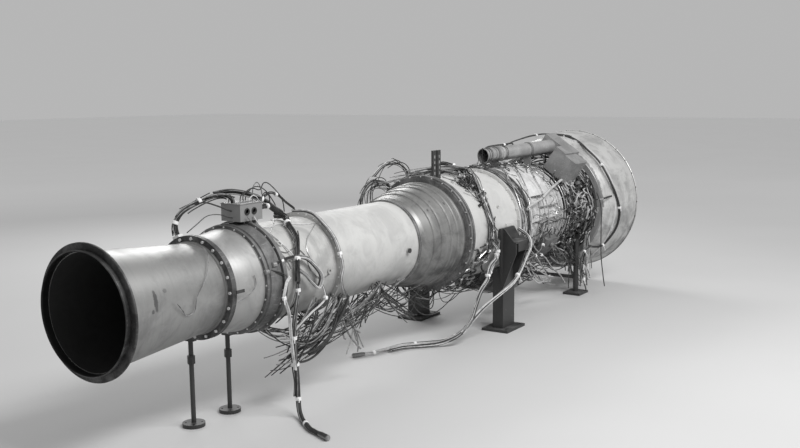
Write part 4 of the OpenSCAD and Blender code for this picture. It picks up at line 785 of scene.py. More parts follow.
# %% Held looms
held = Shape("held_looms", tones)
front_route = through([(1160.7, -40, 375), (1173, -40, 375), (1185, -40, 375), (1217, -35, 384), (1290, -18, 378),
    (1362, -14, 342), (1388, -52, 314), (1352, -104, 299), (1309, -150, 281), (1282, -215, 232), (1248, -261, 178),
    (1203, -293, 122), (1187, -308, 60)])
front_route += [straight_on(front_end, front_way, far) for far in (-60, -30, 0)]
engine_route = through([(3400, 175, 392), (3392, 90, 421), (3372, 0, 430), (3340, -166, 394), (3290, -284, 313),
    (3284, -352, 232), (3290, -398, 144), (3292, -420, 55), (3284, -424, -20)])
engine_route += [straight_on(engine_end, engine_way, far) for far in (-60, -30, 0)]
loop_route = through([(706, 121.1, 274.6), (709, 136, 310), (722, 142, 350), (760, 120, 404), (845, 84, 446),
    (925, 50, 470), (980, 20, 470), (1004, 2, 455), (1010, -2, 440), (1011, -3, 426)])
bunch(held, front_route, 0.0135, 18, 0.0036, [DARK, SLEEVE, DARK, GREY, DARK], (0.3,))
bunch(held, engine_route, 0.0135, 16, 0.0036, [GREY, DARK, PALE, GREY, SLEEVE], (0.36, 0.6, 0.85))
bunch(held, loop_route, 0.0135, 13, 0.0034, DARKS, (0.2, 0.45), 1.6)
held.build(slot="cable_sleeve", stands_for=["held_harnesses"])
print("three looms held by the clips")

# %% [markdown]
# ## Looms round the rake spool
# From the junction box a dark loom drops down the near side, with a loop of thick hoses, two short branches that end in
# plugs, and pale leads that hang down. A second loom runs round the joint to the straight duct.

# %% Inlet looms
near = Shape("inlet_looms", tones)
over_box = through([(925, 50, 476), (1020, 40, 482), (1113, 28, 468), (1180, 14, 448), (1247, 4, 424), (1290, 0, 402),
    (1350, -6, 360), (1392, -30, 328)])
bunch(near, over_box, 0.019, 15, 0.0034, DARKS, (0.6,), 1.6)
stray(near, loop_route, 14, 0.02, 0.0030, DARKS)
near_drop = wrapped(318, (1392, 96), (1370, 76), (1309, 62.2), (1282, 47.2), (1248, 34.2), (1206, 22.6), (1182, 10.7),
    (1178, -2.6), (1172, -30), (1160, -60))
bunch(near, wrapped(314, (1392, 96), (1403, 88.9), (1370, 76), (1309, 62.2), (1282, 47.2), (1248, 34.2), (1206, 22.6),
    (1182, 10.7), (1178, -2.6)), 0.017, 15, 0.0036, [DARK, SLEEVE, DARK, GREY, DARK], (0.36, 0.78), 1.4, 0.2)
bunch(near, wrapped(320, (1194, 22.4), (1269, 19.2), (1326, 10.6), (1379, -0.9), (1383, -9.7), (1359, -14.8),
    (1294, -6.8), (1243, 1.8), (1190, 8.4)), 0.015, 7, 0.0058, [TAPED, GREY, PALE, DARK], (), 1.2, 0.3)
bunch(near, wrapped(312, (1203, 22.6), (1109, 22.4), (1022, 19.5), (960, 14, 300)), 0.009, 5, 0.0036, DARKS, (0.5,),
    1.2)
bunch(near, wrapped(318, (962, 14.1, 306), (1053, 7.4), (1083, 1.1)), 0.008, 4, 0.0042, [SLEEVE, DARK], (), 1.2)
near.turned(round_axis(1022, 19.5, 312), (-1, 0.05, 0), [(0.012, 0), (0.016, 0.004), (0.016, 0.03), (0.011, 0.034)],
    SHELL, 14)
near.turned(round_axis(962, 14.1, 302), (-1, 0.1, 0), [(0.01, 0), (0.014, 0.004), (0.014, 0.026), (0.009, 0.03)], SHELL,
    14)
bunch(near, beside(-345, (1110, 20, -318), (1060, 2, -335), (1036, -29), (1022, -71), (1040, -120), (1063, -178),
    (1076, -311), (1088, -420), (1100, -500)), 0.008, 5, 0.0046, [PALE, GREY, PALE], (0.4,), 1.5)
bunch(near, beside(-330, (1404, -60, -300), (1418, -110, -312), (1412, -161, -322), (1350, -190), (1279, -215),
    (1160, -270), (1120, -300), (1112, -352)), 0.011, 7, 0.0036, MIXED, (0.28,), 1.6)
bunch(near, wrapped(322, (1588, 100), (1600, 84), (1600, 71.1), (1574, 52.7), (1575, 40.7), (1576, 28.9), (1576, 15.3),
    (1585, 0.4), (1577, -11.1), (1620, -24), (1715, -38.8, 316), (1800, -52, 312), (1780, -78, 330)), 0.011, 9, 0.0034,
    [GREY, DARK, PALE, GREY], (0.5,), 1.4, 0.2)
bunch(near, through([(1275, 10, 430), (1330, 6, 452), (1400, 4, 430), (1470, 6, 382), (1545, 20, 345),
    (1590, 40, 328)]), 0.008, 5, 0.0034, DARKS, (0.35,), 1.6)
print("inlet looms laid, still one open shape")

# %% [markdown]
# ## Thin wires and tubes of the inlet
# Eight wires rise out of the junction box in uneven loops or drop from it. Thinner tubes and leads lie close on the
# ducts and end at taps; each is one measured line with its radius and tone.

# %% Thin inlet wires
box_wires = [
    [(1102, 0, 405), (1102, 0, 461), (1171, 0, 493), (1239, 0, 479), (1275, 0, 515), (1330, 0, 500), (1427, 0, 414),
     (1450, 0, 330)],
    [(1085, 10, 405), (1092, 12, 452), (1135, 14, 476), (1190, 10, 458), (1214, 6, 422), (1205, -6, 388)],
    [(1128, -10, 372), (1130, -12, 424), (1160, -14, 452), (1198, -12, 440), (1226, -8, 400), (1240, -6, 372)],
    [(1190, 16, 380), (1196, 18, 452), (1210, 20, 502), (1240, 18, 520), (1266, 16, 486), (1280, 14, 420)],
    [(1150, 20, 372), (1140, 22, 430), (1170, 24, 472), (1230, 20, 498), (1300, 14, 470), (1362, 8, 400),
     (1390, 0, 342)],
    [(1228, -16, 372), (1232, -18, 430), (1262, -20, 462), (1298, -18, 436), (1302, -16, 396), (1288, -14, 378)],
    [(1021, -100, 353), (1040, -104, 330), (1072, -100, 294), (1072, -190, 232), (1124, -276, 117), (1150, -292, 60)],
    [(1078, -92, 350), (1090, -104, 322), (1116, -118, 280), (1150, -190, 224), (1180, -262, 150), (1196, -286, 110)],
]
box_tones = (DARK, SLEEVE, PALE, GREY, DARK, SLEEVE, GREY, PALE)
for k, (route, tone) in enumerate(zip(box_wires, box_tones)):
    near.tube(through(route, 6), 0.0034 if k < 6 else 0.004, tone, 6)
thin = [
    (290, TUBE, [(1010, 60), (1073, 52.6), (1162, 61.3), (1330, 85.8), (1360, 96)]),
    (290, TUBE, [(1586, 78), (1594, 66), (1520, 56), (1445, 47.9), (1382, 39.8), (1336, 26.9), (1362, 10.1),
     (1400, 0)]),
    (289, PALE, [(1130, 75), (1210, 70), (1290, 74), (1380, 70), (1470, 64), (1590, 62)]),
    (290, GREY, [(1100, 36), (1160, 30), (1240, 33), (1300, 24), (1330, 4), (1420, -8), (1500, -6)]),
    (271, GREY, [(640, 60), (625, 47.3), (550, 25.7), (453, 5.5), (433, -9.9), (380, -12.1), (341, -4.5, 284),
     (300, 4, 292)]),
    (288, GREY, [(863, 13.9), (866, 8), (862, 2.1), (830, -3.2), (788, -6.9), (728, -10.5)]),
]
for radius, tone, stations in thin:
    near.tube(wrapped(radius, *stations, steps=7), 0.0026, tone, 6)
near.tube(through([(700, 40, 294), (760, 30, 330), (826, 12, 372), (900, -6, 372), (960, -20, 350), (998, -30, 344)],
    6), 0.0028, DARK, 6)
near.tube(through([(790, 112, 424), (850, 60, 440), (905, 20, 420), (960, -12, 392), (998, -24, 376)], 6), 0.0045,
    SLEEVE, 6)
stray(near, near_drop, 6, 0.02, 0.0032, DARKS)
print(len(box_wires) + len(thin) + 2, "thin wires on the inlet")

# %% [markdown]
# ## Rims, a port and a tab
# Some dark marks are too thin for a solid. The record gives the places of the two gland holes in the junction box, so a
# soft rim goes round each. A black disc on the port of the straight duct is painted shade for its opening, and a small
# tab lies over the first joint.

# %% Small dark marks
for mount in frame["record"]["mounts"]:
    if "gland" in mount["name"]:
        hole, out = Vector(mount["pos_m"]), Vector(mount["axis"])
        cross = out.orthogonal().normalized()
        rim = [hole + out * 0.002 + 0.0165 * (math.cos(a) * cross + math.sin(a) * out.cross(cross))
               for a in (2 * math.pi * i / 20 for i in range(21))]
        near.tube(rim, 0.0042, SLEEVE, 8)
# Painted shade: a black disc where the port of the straight duct opens.
near.turned(round_axis(2353, -2, 300), outward(-2), [(0.016, 0), (0.016, 0.0075), (0.012, 0.0085), (0.012, 0.0075)],
    SLEEVE, 20)
near.block(round_axis(728, 1.3, 302), outward(1.3), (1, 0, 0), (0.06, 0.017, 0.006), SLEEVE)
near.build(slot="cable_sleeve")
print("inlet looms built")

# %% [markdown]
# ## The hanging fan under the ducts
# Below the rake spool and the straight duct the photograph shows a dense dark tangle: dozens of wires sag from the
# looms and drop towards the floor. They are drawn by chance round a few measured lines. Each wire keeps its own sag and
# its own start, so the fan spreads the way loose wires do and never reads as a comb. After the last two fans the dice
# are put back, so those two can be changed or left out without moving any wire that is drawn later.

# %% Hanging wires
def fan(shape, start, end, count, spread, sag, wire, kinds):
    """Loose wires between two places: start and end are points, spread says how far each one may wander."""
    steps = 10
    for k in range(count):
        wander = [Vector([dice.uniform(-1, 1) * spread[i] for i in range(3)]) for _ in range(3)]
        a, b = Vector(start) + wander[0] * 0.5, Vector(end) + wander[1]
        drop = dice.uniform(0.4, 1.0) * sag
        line = []
        for i in range(steps + 1):
            t = i / steps
            bend = 4 * t * (1 - t)
            place = a.lerp(b, t) + wander[2] * bend * 0.6 - Vector((0, 0, drop * bend))
            place.z = max(place.z, 0.008 + 0.004 * (k % 3))
            line.append(place)
        shape.tube(smooth(line, 2), wire * dice.uniform(0.7, 1.3), dice.choice(kinds), 5)


under = Shape("hanging_wires", tones)
for row in (
        ((1585, -250, -190), (1180, -250, -330), 9, (0.05, 0.06, 0.05), 0.12, 0.0034, MIXED),
        ((1400, -280, -170), (1120, -300, -420), 8, (0.05, 0.04, 0.08), 0.05, 0.0034, DARKS),
        ((1640, -250, -200), (1130, -200, -520), 8, (0.08, 0.1, 0.07), 0.10, 0.0032, DARKS),
        ((2089, -250, -209), (1180, -240, -430), 9, (0.10, 0.08, 0.07), 0.10, 0.0030, MIXED),
        ((2350, -220, -230), (1500, -250, -330), 6, (0.12, 0.06, 0.05), 0.08, 0.0030, DARKS),
        ((2080, -240, -214), (2440, -250, -430), 12, (0.05, 0.05, 0.11), 0.03, 0.0032, DARKS),
        ((2080, -240, -214), (1820, -240, -420), 9, (0.12, 0.05, 0.06), 0.02, 0.0032, DARKS)):
    fan(under, at(*row[0]), at(*row[1]), *row[2:])
before = dice.getstate()
fan(under, at(1700, -250, -235), at(1240, -230, -480), 6, (0.1, 0.08, 0.08), 0.08, 0.008, [SLEEVE, DARK])
fan(under, at(1690, -240, -240), at(1790, -250, -520), 9, (0.09, 0.05, 0.09), 0.0, 0.0052, [SLEEVE, DARK, GREY, PALE])
dice.setstate(before)
bunch(under, beside(-320, (1150, -290), (1136, -380), (1130, -480), (1142, -590), (1128, -668)), 0.02, 6, 0.0034, DARKS,
    (0.5,), 1.2)
under.build(slot="cable_sleeve")
print("wires hung under the ducts")

# %% [markdown]
# ## Looms on the wide duct
# Two bundles leave the wide duct on the near side. One is thick and pale and runs down to the floor next to the free
# cable, the other drops past the pedestal and joins it. Short wires, a dark fitting, a thin rod with a tag and two
# crossed hoses sit on the duct. The two slotted lugs on its top are dark strips with pale marks for the slots.

# %% Looms of the wide duct
mid = Shape("engine_looms", tones)
bunch(mid, through([(3400, 260, 350), (3430, 190, 430), (3446, 110, 482), (3470, 40, 470), (3484, 10, 452),
    (3486, -20, 436), (3420, -110, 424), (3340, -172, 402), (3290, -290, 322)]), 0.020, 14, 0.0034, DARKS, (0.45,), 1.6)
bunch(mid, beside(-420, (3292, 60), (3279, -20), (3300, -70), (3352, -110), (3376, -150), (3362, -200), (3266, -247),
    (3230, -300), (3214, -345), (3110, -413), (3040, -501), (2969, -597), (2890, -690, -370), (2810, -745, -270),
    (2720, -759, -160), (2620, -759, -75), (2500, -759, -38)), 0.017, 15, 0.0036, [PALE, GREY, PALE, DARK, TAPED],
    (0.25, 0.45), 1.6)
bunch(mid, beside(-560, (3700, -20, -430), (3690, -70, -520), (3655, -140), (3570, -225), (3480, -300), (3350, -372),
    (3200, -445, -520), (3080, -525, -460), (2990, -600, -420), (2900, -680, -385)), 0.014, 11, 0.0036, [GREY, PALE,
    DARK, GREY], (0.5,), 1.4)
bunch(mid, wrapped(430, (3344, 70), (3340, 60), (3300, 50), (3289, 33.1), (3292, 19.8), (3310, 7.4), (3342, -6),
    (3350, -15.8)), 0.008, 4, 0.0038, [GREY, DARK], (0.4,), 1.2)
for start in ((3150, 98), (3205, 84), (3260, 101)):
    mid.tube(wrapped(407, start, (start[0] + 55, start[1] - 30), (start[0] + 80, start[1] - 58), (3282,
        start[1] * 0.1 + 22)), 0.0028, DARK, 5)
mid.turned(round_axis(3215, 30, 404), outward(30), [(0.011, 0), (0.011, 0.03), (0.006, 0.032), (0.006, 0.05)], DARK, 12)
mid.turned(round_axis(3255, 41, 404), outward(41), [(0.004, 0), (0.004, 0.075)], TUBE, 8)
mid.block(round_axis(3255, 41, 486), (0, -0.7, 0.7), (1, 0, 0), (0.022, 0.014, 0.004), TIE)
for a, b in (((3215, 14), (3325, 2)), ((3318, 15), (3222, 1))):
    mid.tube(wrapped(446, a, b, steps=4), 0.0045, DARK, 6)
for lug_x in (3058, 3124):
    mid.block(at(lug_x, -60, 502), (0, 0, 1), (1, 0, 0), (0.044, 0.014, 0.21), SLEEVE)
    for slot_height in (440, 480, 520, 560):
        mid.block(at(lug_x, -68, slot_height), (0, 0, 1), (1, 0, 0), (0.014, 0.003, 0.022), GREY)
print("wide duct dressed, still one open shape")

# %% [markdown]
# ## Loops on the far side and under the compressor
# Behind the dark ring loose loops stand up on the far side, and a ragged band of wires comes over the top of the duct.
# Under the compressor three thin bundles sag to the rear, with two fans of loose wires.

# %% Far loops and sagging bundles
far_loops = [
    [(2827, 420, 166), (2814, 420, 242), (2879, 420, 325), (2984, 420, 369), (3117, 415, 343), (3211, 415, 281),
     (3308, 410, 225)],
    [(2959, 400, 408), (3066, 390, 476), (3229, 380, 488), (3369, 390, 440), (3425, 400, 373), (3440, 410, 290)],
    [(2900, 430, 200), (2930, 432, 300), (3040, 430, 330), (3180, 425, 300), (3260, 425, 220)],
]
for route in far_loops:
    bunch(mid, through(route, 5), 0.010, 3, 0.0034, DARKS, (), 1.5)
    stray(mid, through(route, 7), 9, 0.045, 0.0030, MIXED)
over_top = through([(2900, 330, 360), (3080, 250, 400), (3240, 170, 425), (3360, 90, 436), (3420, 0, 436),
    (3440, -90, 428), (3400, -180, 398), (3330, -260, 345), (3285, -330, 262), (3288, -385, 160), (3290, -418, 60),
    (3280, -430, -60)])
stray(mid, over_top, 30, 0.045, 0.0032, [DARK, GREY, DARK, SLEEVE, DARK, GREY])
stray(mid, over_top[len(over_top) // 2:], 22, 0.04, 0.0032, [DARK, GREY, PALE, DARK, SLEEVE, PALE])
sagging = [
    [(4077, -14), (4130, -90), (4167, -172), (4140, -230), (4083, -260), (3960, -285), (3836, -296)],
    [(3900, -60), (3932, -141), (4027, -235), (4200, -326), (4341, -432), (4507, -519), (4600, -600)],
    [(3860, -90), (3900, -200), (4050, -300), (4180, -420), (4300, -540)],
]
for route in sagging:
    bunch(mid, beside(-430, *route), 0.008, 4, 0.0036, [DARK, GREY, TUBE], (0.45,), 1.4)
fan(mid, at(4100, -300, -330), at(4500, -330, -560), 8, (0.12, 0.05, 0.06), 0.08, 0.0034, MIXED)
fan(mid, at(3800, -300, -330), at(4250, -300, -450), 7, (0.10, 0.06, 0.06), 0.09, 0.0034, DARKS)
mid.build(slot="cable_sleeve")
print("engine looms built")

# %% [markdown]
# ## Pipes on the compressor
# Drain and pressure pipes of drawn steel run close over the casings, held by small clips, and a pale taped hose runs
# along the near side. Steel pipe bends in clean arcs, so these lines get more steps and less wander than the wires.
# Three rows of small fittings stand on strips along the casing.

# %% Compressor pipes
pipes = Shape("engine_pipes", tones)


def pipe(radius, *stations, r=0.0045, tone=TUBE, clips=(), sides=8):
    line = wrapped(radius, *stations, steps=8)
    pipes.tube(line, r, tone, sides)
    for place in clips:
        k = min(int(place * (len(line) - 1)), len(line) - 2)
        ahead = (line[k + 1] - line[k]).normalized()
        clip = [(r, 0), (r + 0.003, 0.001), (r + 0.003, 0.011), (r, 0.012)]
        pipes.turned(line[k] - ahead * 0.006, ahead, clip, SHELL, 12)


pipe(428, (3998, 96), (3998, 70.4), (3871, 51.9), (3817, 38.3), (3794, 26.5), (3782, 13.4), (3796, 0.4), (3830, -16),
    r=0.006, clips=(0.3, 0.6, 0.85))
pipe(424, (4417, 93.5), (4330, 82), (4232, 70.4), (4098, 51.6), (4022, 35.3), (3956, 20.7), (3926, 6.9), (3951, -8.6),
    (3990, -24), r=0.0055, clips=(0.25, 0.5, 0.8))
pipe(414, (4499, 73.2), (4440, 65), (4381, 57.8), (4330, 50), (4307, 45.2), (4290, 30), (4296, 8), (4320, -14),
    r=0.0045, clips=(0.4, 0.8))
pipe(440, (3860, 14), (3898, 16.6), (4031, 19.7), (4179, 22.7), (4364, 29.6), (4536, 34.3), (4640, 37.2), r=0.0105,
    tone=TAPED, clips=(0.1, 0.5, 0.9), sides=12)
pipe(398, (4020, 112), (4040, 88), (4052, 66), (4060, 40), (4066, 12), (4070, -20), r=0.0038, tone=PALE)
pipe(398, (4150, 118), (4160, 90), (4168, 60), (4172, 34), (4166, 8), (4150, -24), r=0.0038, tone=GREY)
pipe(400, (4236, 104), (4240, 80), (4250, 48), (4256, 18), (4250, -8), (4240, -30), r=0.005, clips=(0.3, 0.7))
pipe(384, (4560, 100), (4580, 76), (4588, 52), (4590, 24), (4584, -6), (4570, -34), r=0.006, clips=(0.25, 0.6, 0.9))
pipe(380, (4520, -40), (4500, -20), (4512, -2), (4560, 6), (4640, 5), (4680, -4), (4690, -20), r=0.007,
    clips=(0.3, 0.7))
pipe(404, (3970, -4), (4060, -2), (4180, -6), (4330, -4), (4460, -8), (4600, -6), (4700, -10), r=0.0048, tone=DARK)
pipe(404, (3975, 4), (4090, 6), (4220, 2), (4380, 6), (4520, 2), (4680, 4), r=0.0038, tone=GREY)
FITTINGS_IN_A_ROW = 9
fitting_outline = [(0.011, 0), (0.011, 0.009), (0.008, 0.010), (0.008, 0.016), (0.0045, 0.016), (0.0045, 0.022)]
for first, last in (((4219, 12.8), (4613, 11.7)), ((4240, 2.0), (4641, 0.3)), ((4274, -10.6), (4699, -10.4))):
    for k in range(FITTINGS_IN_A_ROW):
        t = k / (FITTINGS_IN_A_ROW - 1)
        x, a = first[0] + t * (last[0] - first[0]), first[1] + t * (last[1] - first[1])
        pipes.turned(round_axis(x, a, 358), outward(a), fitting_outline, SHELL, 8)
    middle = (round_axis(*first, 364) + round_axis(*last, 364)) / 2
    pipes.block(middle, outward(first[1]), (1, 0, 0), (0.43, 0.014, 0.006), SHELL)
print("compressor pipes laid, still one open shape")

# %% [markdown]
# ## The crowded hot section
# Round the combustor the photograph shows a thicket: fuel pipes, drain pipes, probes and their cables, packed between
# the cooling box and the shroud so that hardly any casing is seen. The main lines follow the photograph, and many more
# short ones are drawn by chance between two radii: thirty round the casing, thirty along it, and 26 upright fittings.
# Mixing bright pipe, dark cable and pale tape at random radii gives the depth of a real engine, where every gap shows
# another pipe behind it.

# %% Hot section pipes
pipe(400, (4771, 40), (4771, 26.7), (4948, 32.7), (5013, 23.4), (5043, 9.8), (5062, -5.9), (5091, -22.8), (5220, -46),
    r=0.009, tone=TAPED, sides=10)
pipe(420, (4971, 60), (4971, 32.3), (5071, 21.6), (5146, 4.4), (5223, -13), (5346, -35.4), r=0.008, tone=DARK, sides=10)
pipe(470, (5020, 52), (5043, 31.7), (5110, 23.7), (5101, 8.1), (5130, -7.7), (5161, -24.6), (5150, -44), r=0.0075,
    tone=GREY, sides=10)
pipe(380, (4686, -25), (4790, -27), (4890, -23.3), (4996, -13.7), (5012, 2.5), (5010, 18.9), (5004, 44), r=0.010,
    clips=(0.3, 0.6), sides=10)
pipe(440, (4640, 37.2), (4708, 38.1), (4780, 33, 430), (4860, 30, 420), (4960, 36, 430), (5029, 39.7), (5163, 39.5),
    (5204, 34.7, 450), r=0.0105, tone=TAPED, sides=12)
kinds = [TUBE, TUBE, DARK, GREY, TAPED, SHELL, SLEEVE, PALE]
for k in range(30):
    x = dice.uniform(4700, 5200)
    rise_from, swing = dice.uniform(-75, 100), dice.uniform(14, 55)
    radius = dice.uniform(372, 400) if x < 4880 else dice.uniform(380, 470)
    stations = [(x + dice.uniform(-26, 26), rise_from - swing * i / 5, radius + dice.uniform(-9, 9))
                for i in range(6)]
    pipe(radius, *stations, r=dice.choice([0.0035, 0.0045, 0.006, 0.0075]), tone=dice.choice(kinds), clips=(0.35, 0.8),
        sides=6)
for k in range(30):
    a, radius = dice.uniform(-70, 85), dice.uniform(376, 452)
    x = dice.uniform(4690, 5000)
    stations = [(x + i * dice.uniform(34, 58), a + dice.uniform(-5, 5), radius + dice.uniform(-10, 10))
                for i in range(5)]
    pipe(radius, *stations, r=dice.choice([0.0032, 0.0045, 0.006]), tone=dice.choice(kinds), sides=6)
for k in range(26):
    x, a = dice.uniform(4720, 5190), dice.uniform(-60, 95)
    out = outward(a)
    high = dice.uniform(0.03, 0.085)
    outline = [(0.013, 0), (0.013, 0.012), (0.008, 0.014), (0.008, high), (0.011, high + 0.001),
               (0.011, high + 0.014), (0.006, high + 0.016), (0.006, high + 0.022)]
    pipes.turned(round_axis(x, a, 352), out, outline, dice.choice([SHELL, TUBE, DARK]), 8)
pipes.build(slot="pipe_steel")
print("engine pipes built")

# %% [markdown]
# ## Cables on and under the shroud
# Three cables in one bunch cross the top of the shroud, drop down its near side and run on under it; more hang free
# between the shroud and the floor, and two fans of loose wires fill the space below the tail pipe.

# %% Shroud cables
rear = Shape("rear_looms", tones)
shroud_line = wrapped(618, (5400, 101, 620), (5391, 83.9, 624), (5325, 69.3, 622), (5246, 55.1), (5243, 42.1),
    (5237, 29.9), (5263, 18.8), (5300, 9.4, 622), (5360, -1.6, 626), (5384, -12.2, 628), (5372, -23.2, 626),
    (5295, -36.2), (5150, -37, 604), (4964, -33.1, 600))
bunch(rear, shroud_line, 0.009, 3, 0.0062, [DARK, SLEEVE, DARK], (0.08, 0.35, 0.62, 0.85), 1.2, 0.2)
bunch(rear, beside(-520, (4990, -330, -505), (4941, -330), (4860, -342), (4807, -357), (4770, -400), (4745, -453),
    (4790, -560), (4838, -641), (4880, -700)), 0.008, 4, 0.0046, DARKS, (0.35, 0.8), 1.3)
free_wires = [
    (-300, [(5100, -140), (5119, -218), (5148, -360), (5178, -503), (5207, -647), (5200, -720), (5166, -762)]),
    (-420, [(5050, -380), (5030, -488), (5011, -576), (5050, -640), (5087, -708), (5110, -762)]),
    (-600, [(4970, 150, -560), (4977, 24), (4989, -180), (5002, -405), (5061, -603), (5100, -700)]),
    (-330, [(5230, -300), (5260, -420), (5300, -560), (5330, -690), (5350, -764)]),
    (-360, [(4900, -250), (4920, -330), (4900, -450), (4860, -560), (4850, -700)]),
]
for y, route in free_wires:
    rear.tube(beside(y, *route), 0.0046, DARK, 7)
fan(rear, at(4900, -320, -330), at(5200, -380, -680), 7, (0.12, 0.06, 0.05), 0.02, 0.0036, DARKS)
fan(rear, at(4700, -260, -300), at(4960, -300, -480), 8, (0.10, 0.06, 0.06), 0.07, 0.0040, MIXED)
print("shroud cables laid, still one open shape")

# %% [markdown]
# ## Wires on the air tube
# The air tube slants across the engine, so its wires need a frame of their own: a distance from its open mouth, an
# angle round it and a radius. Hoops of wire go round it, a strap crosses the mouth, one dark cable lies on top and
# seven thin ends hang from the rim.

# %% Air tube wires
tube_start, tube_way = at(4031, 60, 506), Vector((0.97137, -0.2332, 0.04536))
tube_side = tube_way.cross(Vector((0, 0, 1))).normalized()
tube_up = tube_side.cross(tube_way).normalized()


def on_tube(far, angle, radius):
    turn = math.radians(angle)
    out = math.cos(turn) * tube_side + math.sin(turn) * tube_up
    return tube_start + tube_way * far / 1000 + out * radius / 1000


for far, tone in ((22, DARK), (46, DARK), (60, GREY), (108, GREY), (200, PALE), (232, DARK), (250, DARK)):
    hoop = [on_tube(far + 6 * math.sin(math.radians(a * 2)), a, 62.5) for a in range(-40, 225, 12)]
    rear.tube(hoop, 0.0022, tone, 5)
bunch(rear, smooth([on_tube(60, 150, 70), on_tube(100, 118, 72), on_tube(170, 96, 72), on_tube(260, 84, 72),
    on_tube(350, 92, 72), on_tube(420, 120, 72), on_tube(450, 160, 72)], 5), 0.005, 3, 0.0045, [DARK, SLEEVE], (0.5,),
    1.2)
rear.tube([on_tube(-3, 90, 66), on_tube(-6, 90, 30), on_tube(-6, -90, 30), on_tube(-3, -90, 66)], 0.0035, DARK, 6)
for k in range(7):
    start = on_tube(8 + 3 * k, 190 + 14 * k, 64)
    steps = ((0, 0, 0), (-0.03 - 0.01 * k, -0.02, -0.02), (-0.06 - 0.012 * k, -0.03, -0.07), (-0.05, -0.04, -0.13))
    rear.tube(smooth([start + Vector(step) for step in steps], 4), 0.0026, (DARK, GREY, PALE)[k % 3], 5)
print("air tube dressed, still one open shape")

# %% [markdown]
# ## The rim of the shroud
# A bunch of three cables runs from the air tube back over the top. The rear rim carries a dark edge with thirty small
# clips, and the front half has one dark slit on its near side. All of these are too thin for a solid.

# %% Shroud rim
bunch(rear, through([(4420, 70, 560), (4540, 50, 596), (4691, 40, 614), (4871, 36, 630), (5080, 20, 640),
    (5260, -20, 634), (5370, -80, 622), (5396, -130, 606)], 6), 0.008, 3, 0.0055, [DARK, SLEEVE], (0.5,), 1.2, 0.2)
rear.tube(smooth([round_axis(5726, 10 * i, 651) for i in range(37)], 4), 0.0035, SLEEVE, 6)
for angle in range(0, 360, 12):
    clip = [(0.006, 0), (0.006, 0.004), (0.003, 0.006)]
    rear.turned(round_axis(5738, angle, 651), outward(angle), clip, DARK, 8)
rear.block(round_axis(5200, 9, 592), outward(9), (1, 0, 0.02), (0.24, 0.016, 0.008), SLEEVE)
rear.build(slot="cable_sleeve")
print("rear looms built")

# %% [markdown]
# ## Thickets: what fills the gaps
# A development engine is wrapped in instrument wires. Beyond the lines that can be followed one by one, the photograph
# shows masses of them: over the compressor, between the combustor and the shroud, and hanging under the whole engine.
# `thicket` lays short runs round the casing between two radii, each with its own drift, and ends some of them in a
# small bright fitting. Density matters here more than any single line, so the counts are high and the tubes simple.

# %% Thickets over the casings
def thicket(shape, count, stations, angles, radii, swing, wire, kinds, drift, fitting, along=0.0):
    """Short runs of wire round the casing; stations, angles and radii are (low, high)."""
    for k in range(count):
        x, a, r = (dice.uniform(*pair) for pair in (stations, angles, radii))
        turn = dice.choice((-1, 1)) * dice.uniform(*swing)
        points = [round_axis(x + along * i + dice.uniform(-drift, drift), a + turn * i / 4,
                             r + dice.uniform(-9, 9) + 6 * math.sin(i * 1.7 + k)) for i in range(5)]
        line = smooth(points, 4)
        thick = dice.uniform(*wire)
        shape.tube(line, thick, dice.choice(kinds), 6)
        if dice.random() < fitting:
            ahead = (line[-1] - line[-2]).normalized()
            outline = [(thick, 0), (thick * 1.9, 0.002), (thick * 1.9, 0.014), (thick * 1.3, 0.016),
                       (thick * 1.3, 0.024)]
            shape.turned(line[-1], ahead, outline, dice.choice([SHELL, SHELL, TUBE]), 8)


wires = Shape("casing_wires", tones)
for row in (
        (44, (3800, 4450), (84, 122), (400, 462), (8, 30), (0.0024, 0.0042), DARKS, 60, 0.15),
        (26, (3780, 3980), (-30, 70), (402, 440), (25, 70), (0.0024, 0.0042), MIXED, 24, 0.3),
        (22, (4420, 4700), (40, 100), (372, 430), (8, 34), (0.0026, 0.005), MIXED + [TUBE], 40, 0.35),
        (44, (3850, 4700), (-75, -18), (380, 450), (6, 30), (0.0028, 0.0055), DARKS, 70, 0.35, 20),
        (12, (4200, 4640), (-12, 14), (372, 388), (4, 16), (0.0022, 0.0034), [DARK, GREY, PALE], 30, 0.5, 26)):
    thicket(wires, *row)
wires.build(slot="cable_sleeve")
print("casing wires built")

# %% [markdown]
# ## The thicket of the hot section
# Here the wires are murky and dense, with brighter thick ones near the middle of the near side. Sixty small blocks
# stand for clamps and connectors between them.

# %% Hot section wires
hot = Shape("hot_section_wires", tones)
MURK = [DARK, SLEEVE, DARK, SLEEVE, DARK, TAPED]
for row in (
        (70, (4760, 5120), (-70, 60), (392, 440), (8, 34), (0.003, 0.0065), MURK, 60, 0.45),
        (46, (4730, 5130), (-60, 50), (400, 450), (2, 16), (0.003, 0.007), MURK, 26, 0.6, 46),
        (70, (5030, 5190), (-80, 70), (430, 495), (10, 48), (0.0035, 0.0065), MURK, 46, 0.4),
        (26, (4720, 5000), (-20, 30), (384, 436), (4, 20), (0.004, 0.0085), [TUBE, SHELL, TAPED, PALE], 30, 0.8, 34),
        (20, (5040, 5180), (-30, 40), (440, 490), (4, 24), (0.005, 0.0085), [TUBE, TAPED, PALE, GREY], 34, 0.7, 20),
        (40, (5060, 5190), (70, 175), (400, 500), (20, 60), (0.0035, 0.006), DARKS, 22, 0.2)):
    thicket(hot, *row)
for k in range(60):
    x, a, r = dice.uniform(4700, 5180), dice.uniform(-75, 80), dice.uniform(384, 452)
    out = outward(a)
    size = dice.uniform(0.012, 0.034)
    hot.block(round_axis(x, a, r), out, (1, dice.uniform(-0.6, 0.6), dice.uniform(-0.8, 0.8)), (size * 1.6, size,
        size * 0.8), dice.choice([SHELL, DARK, DARK, TUBE, SLEEVE]))
hot.build(slot="cable_sleeve")
print("hot section wires built")

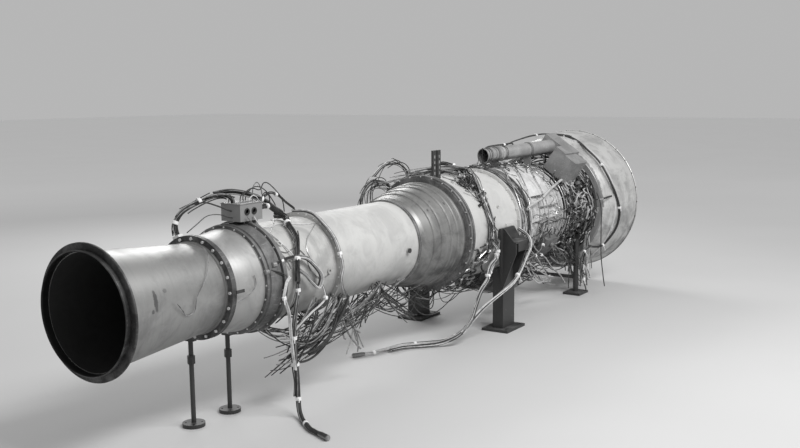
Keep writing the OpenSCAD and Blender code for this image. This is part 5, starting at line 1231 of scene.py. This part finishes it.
# %% [markdown]
# ## What hangs under the engine
# Fans of dark wires sag below the whole machine, from the rake spool to the shroud. Two last thickets darken the lower
# and the upper near side of the wide duct, where the photograph shows fittings packed behind the bundles.

# %% Wires under the engine
low = Shape("under_engine_wires", tones)
for row in (
        ((3900, -220, -330), (4350, -240, -440), 16, (0.18, 0.14, 0.07), 0.07, 0.0036, DARKS),
        ((4250, -230, -320), (4700, -240, -430), 18, (0.2, 0.14, 0.07), 0.08, 0.0036, DARKS),
        ((4620, -240, -310), (4980, -260, -440), 18, (0.16, 0.12, 0.08), 0.06, 0.0044, DARKS),
        ((4880, -300, -250), (4990, -330, -560), 7, (0.08, 0.06, 0.05), 0.0, 0.0048, [DARK, SLEEVE, GREY]),
        ((5040, -300, -280), (5110, -340, -690), 7, (0.06, 0.06, 0.05), 0.0, 0.0054, [DARK, SLEEVE, PALE, GREY]),
        ((3480, -60, -410), (4300, -120, -500), 12, (0.14, 0.12, 0.05), 0.10, 0.0036, DARKS),
        ((3120, 0, -390), (3700, -80, -420), 12, (0.14, 0.14, 0.05), 0.12, 0.0036, DARKS),
        ((2650, -60, -330), (3200, -60, -400), 14, (0.14, 0.16, 0.05), 0.16, 0.0036, DARKS),
        ((2150, -60, -300), (2750, -80, -340), 12, (0.16, 0.14, 0.04), 0.14, 0.0034, DARKS),
        ((1500, -60, -300), (2250, -80, -300), 14, (0.16, 0.14, 0.04), 0.16, 0.0034, DARKS),
        ((1150, -60, -300), (1600, -120, -320), 14, (0.10, 0.14, 0.04), 0.12, 0.0034, MIXED),
        ((5060, -440, -230), (5120, -430, -620), 8, (0.09, 0.05, 0.06), 0.0, 0.005, [GREY, PALE, DARK, TUBE])):
    fan(low, at(*row[0]), at(*row[1]), *row[2:])
thicket(low, 30, (3010, 3230), (-54, -12), (404, 450), (3, 22), (0.004, 0.008), [DARK, SLEEVE, DARK, TUBE, SHELL], 40,
    0.7, 18)
thicket(low, 14, (3150, 3290), (48, 64), (406, 448), (3, 14), (0.003, 0.006), [DARK, SLEEVE, DARK, SHELL], 30, 0.7, 14)
low.build(slot="cable_sleeve")
print("wires under the engine built")

# %% [markdown]

# %% Finish
bpy.context.view_layer.update()
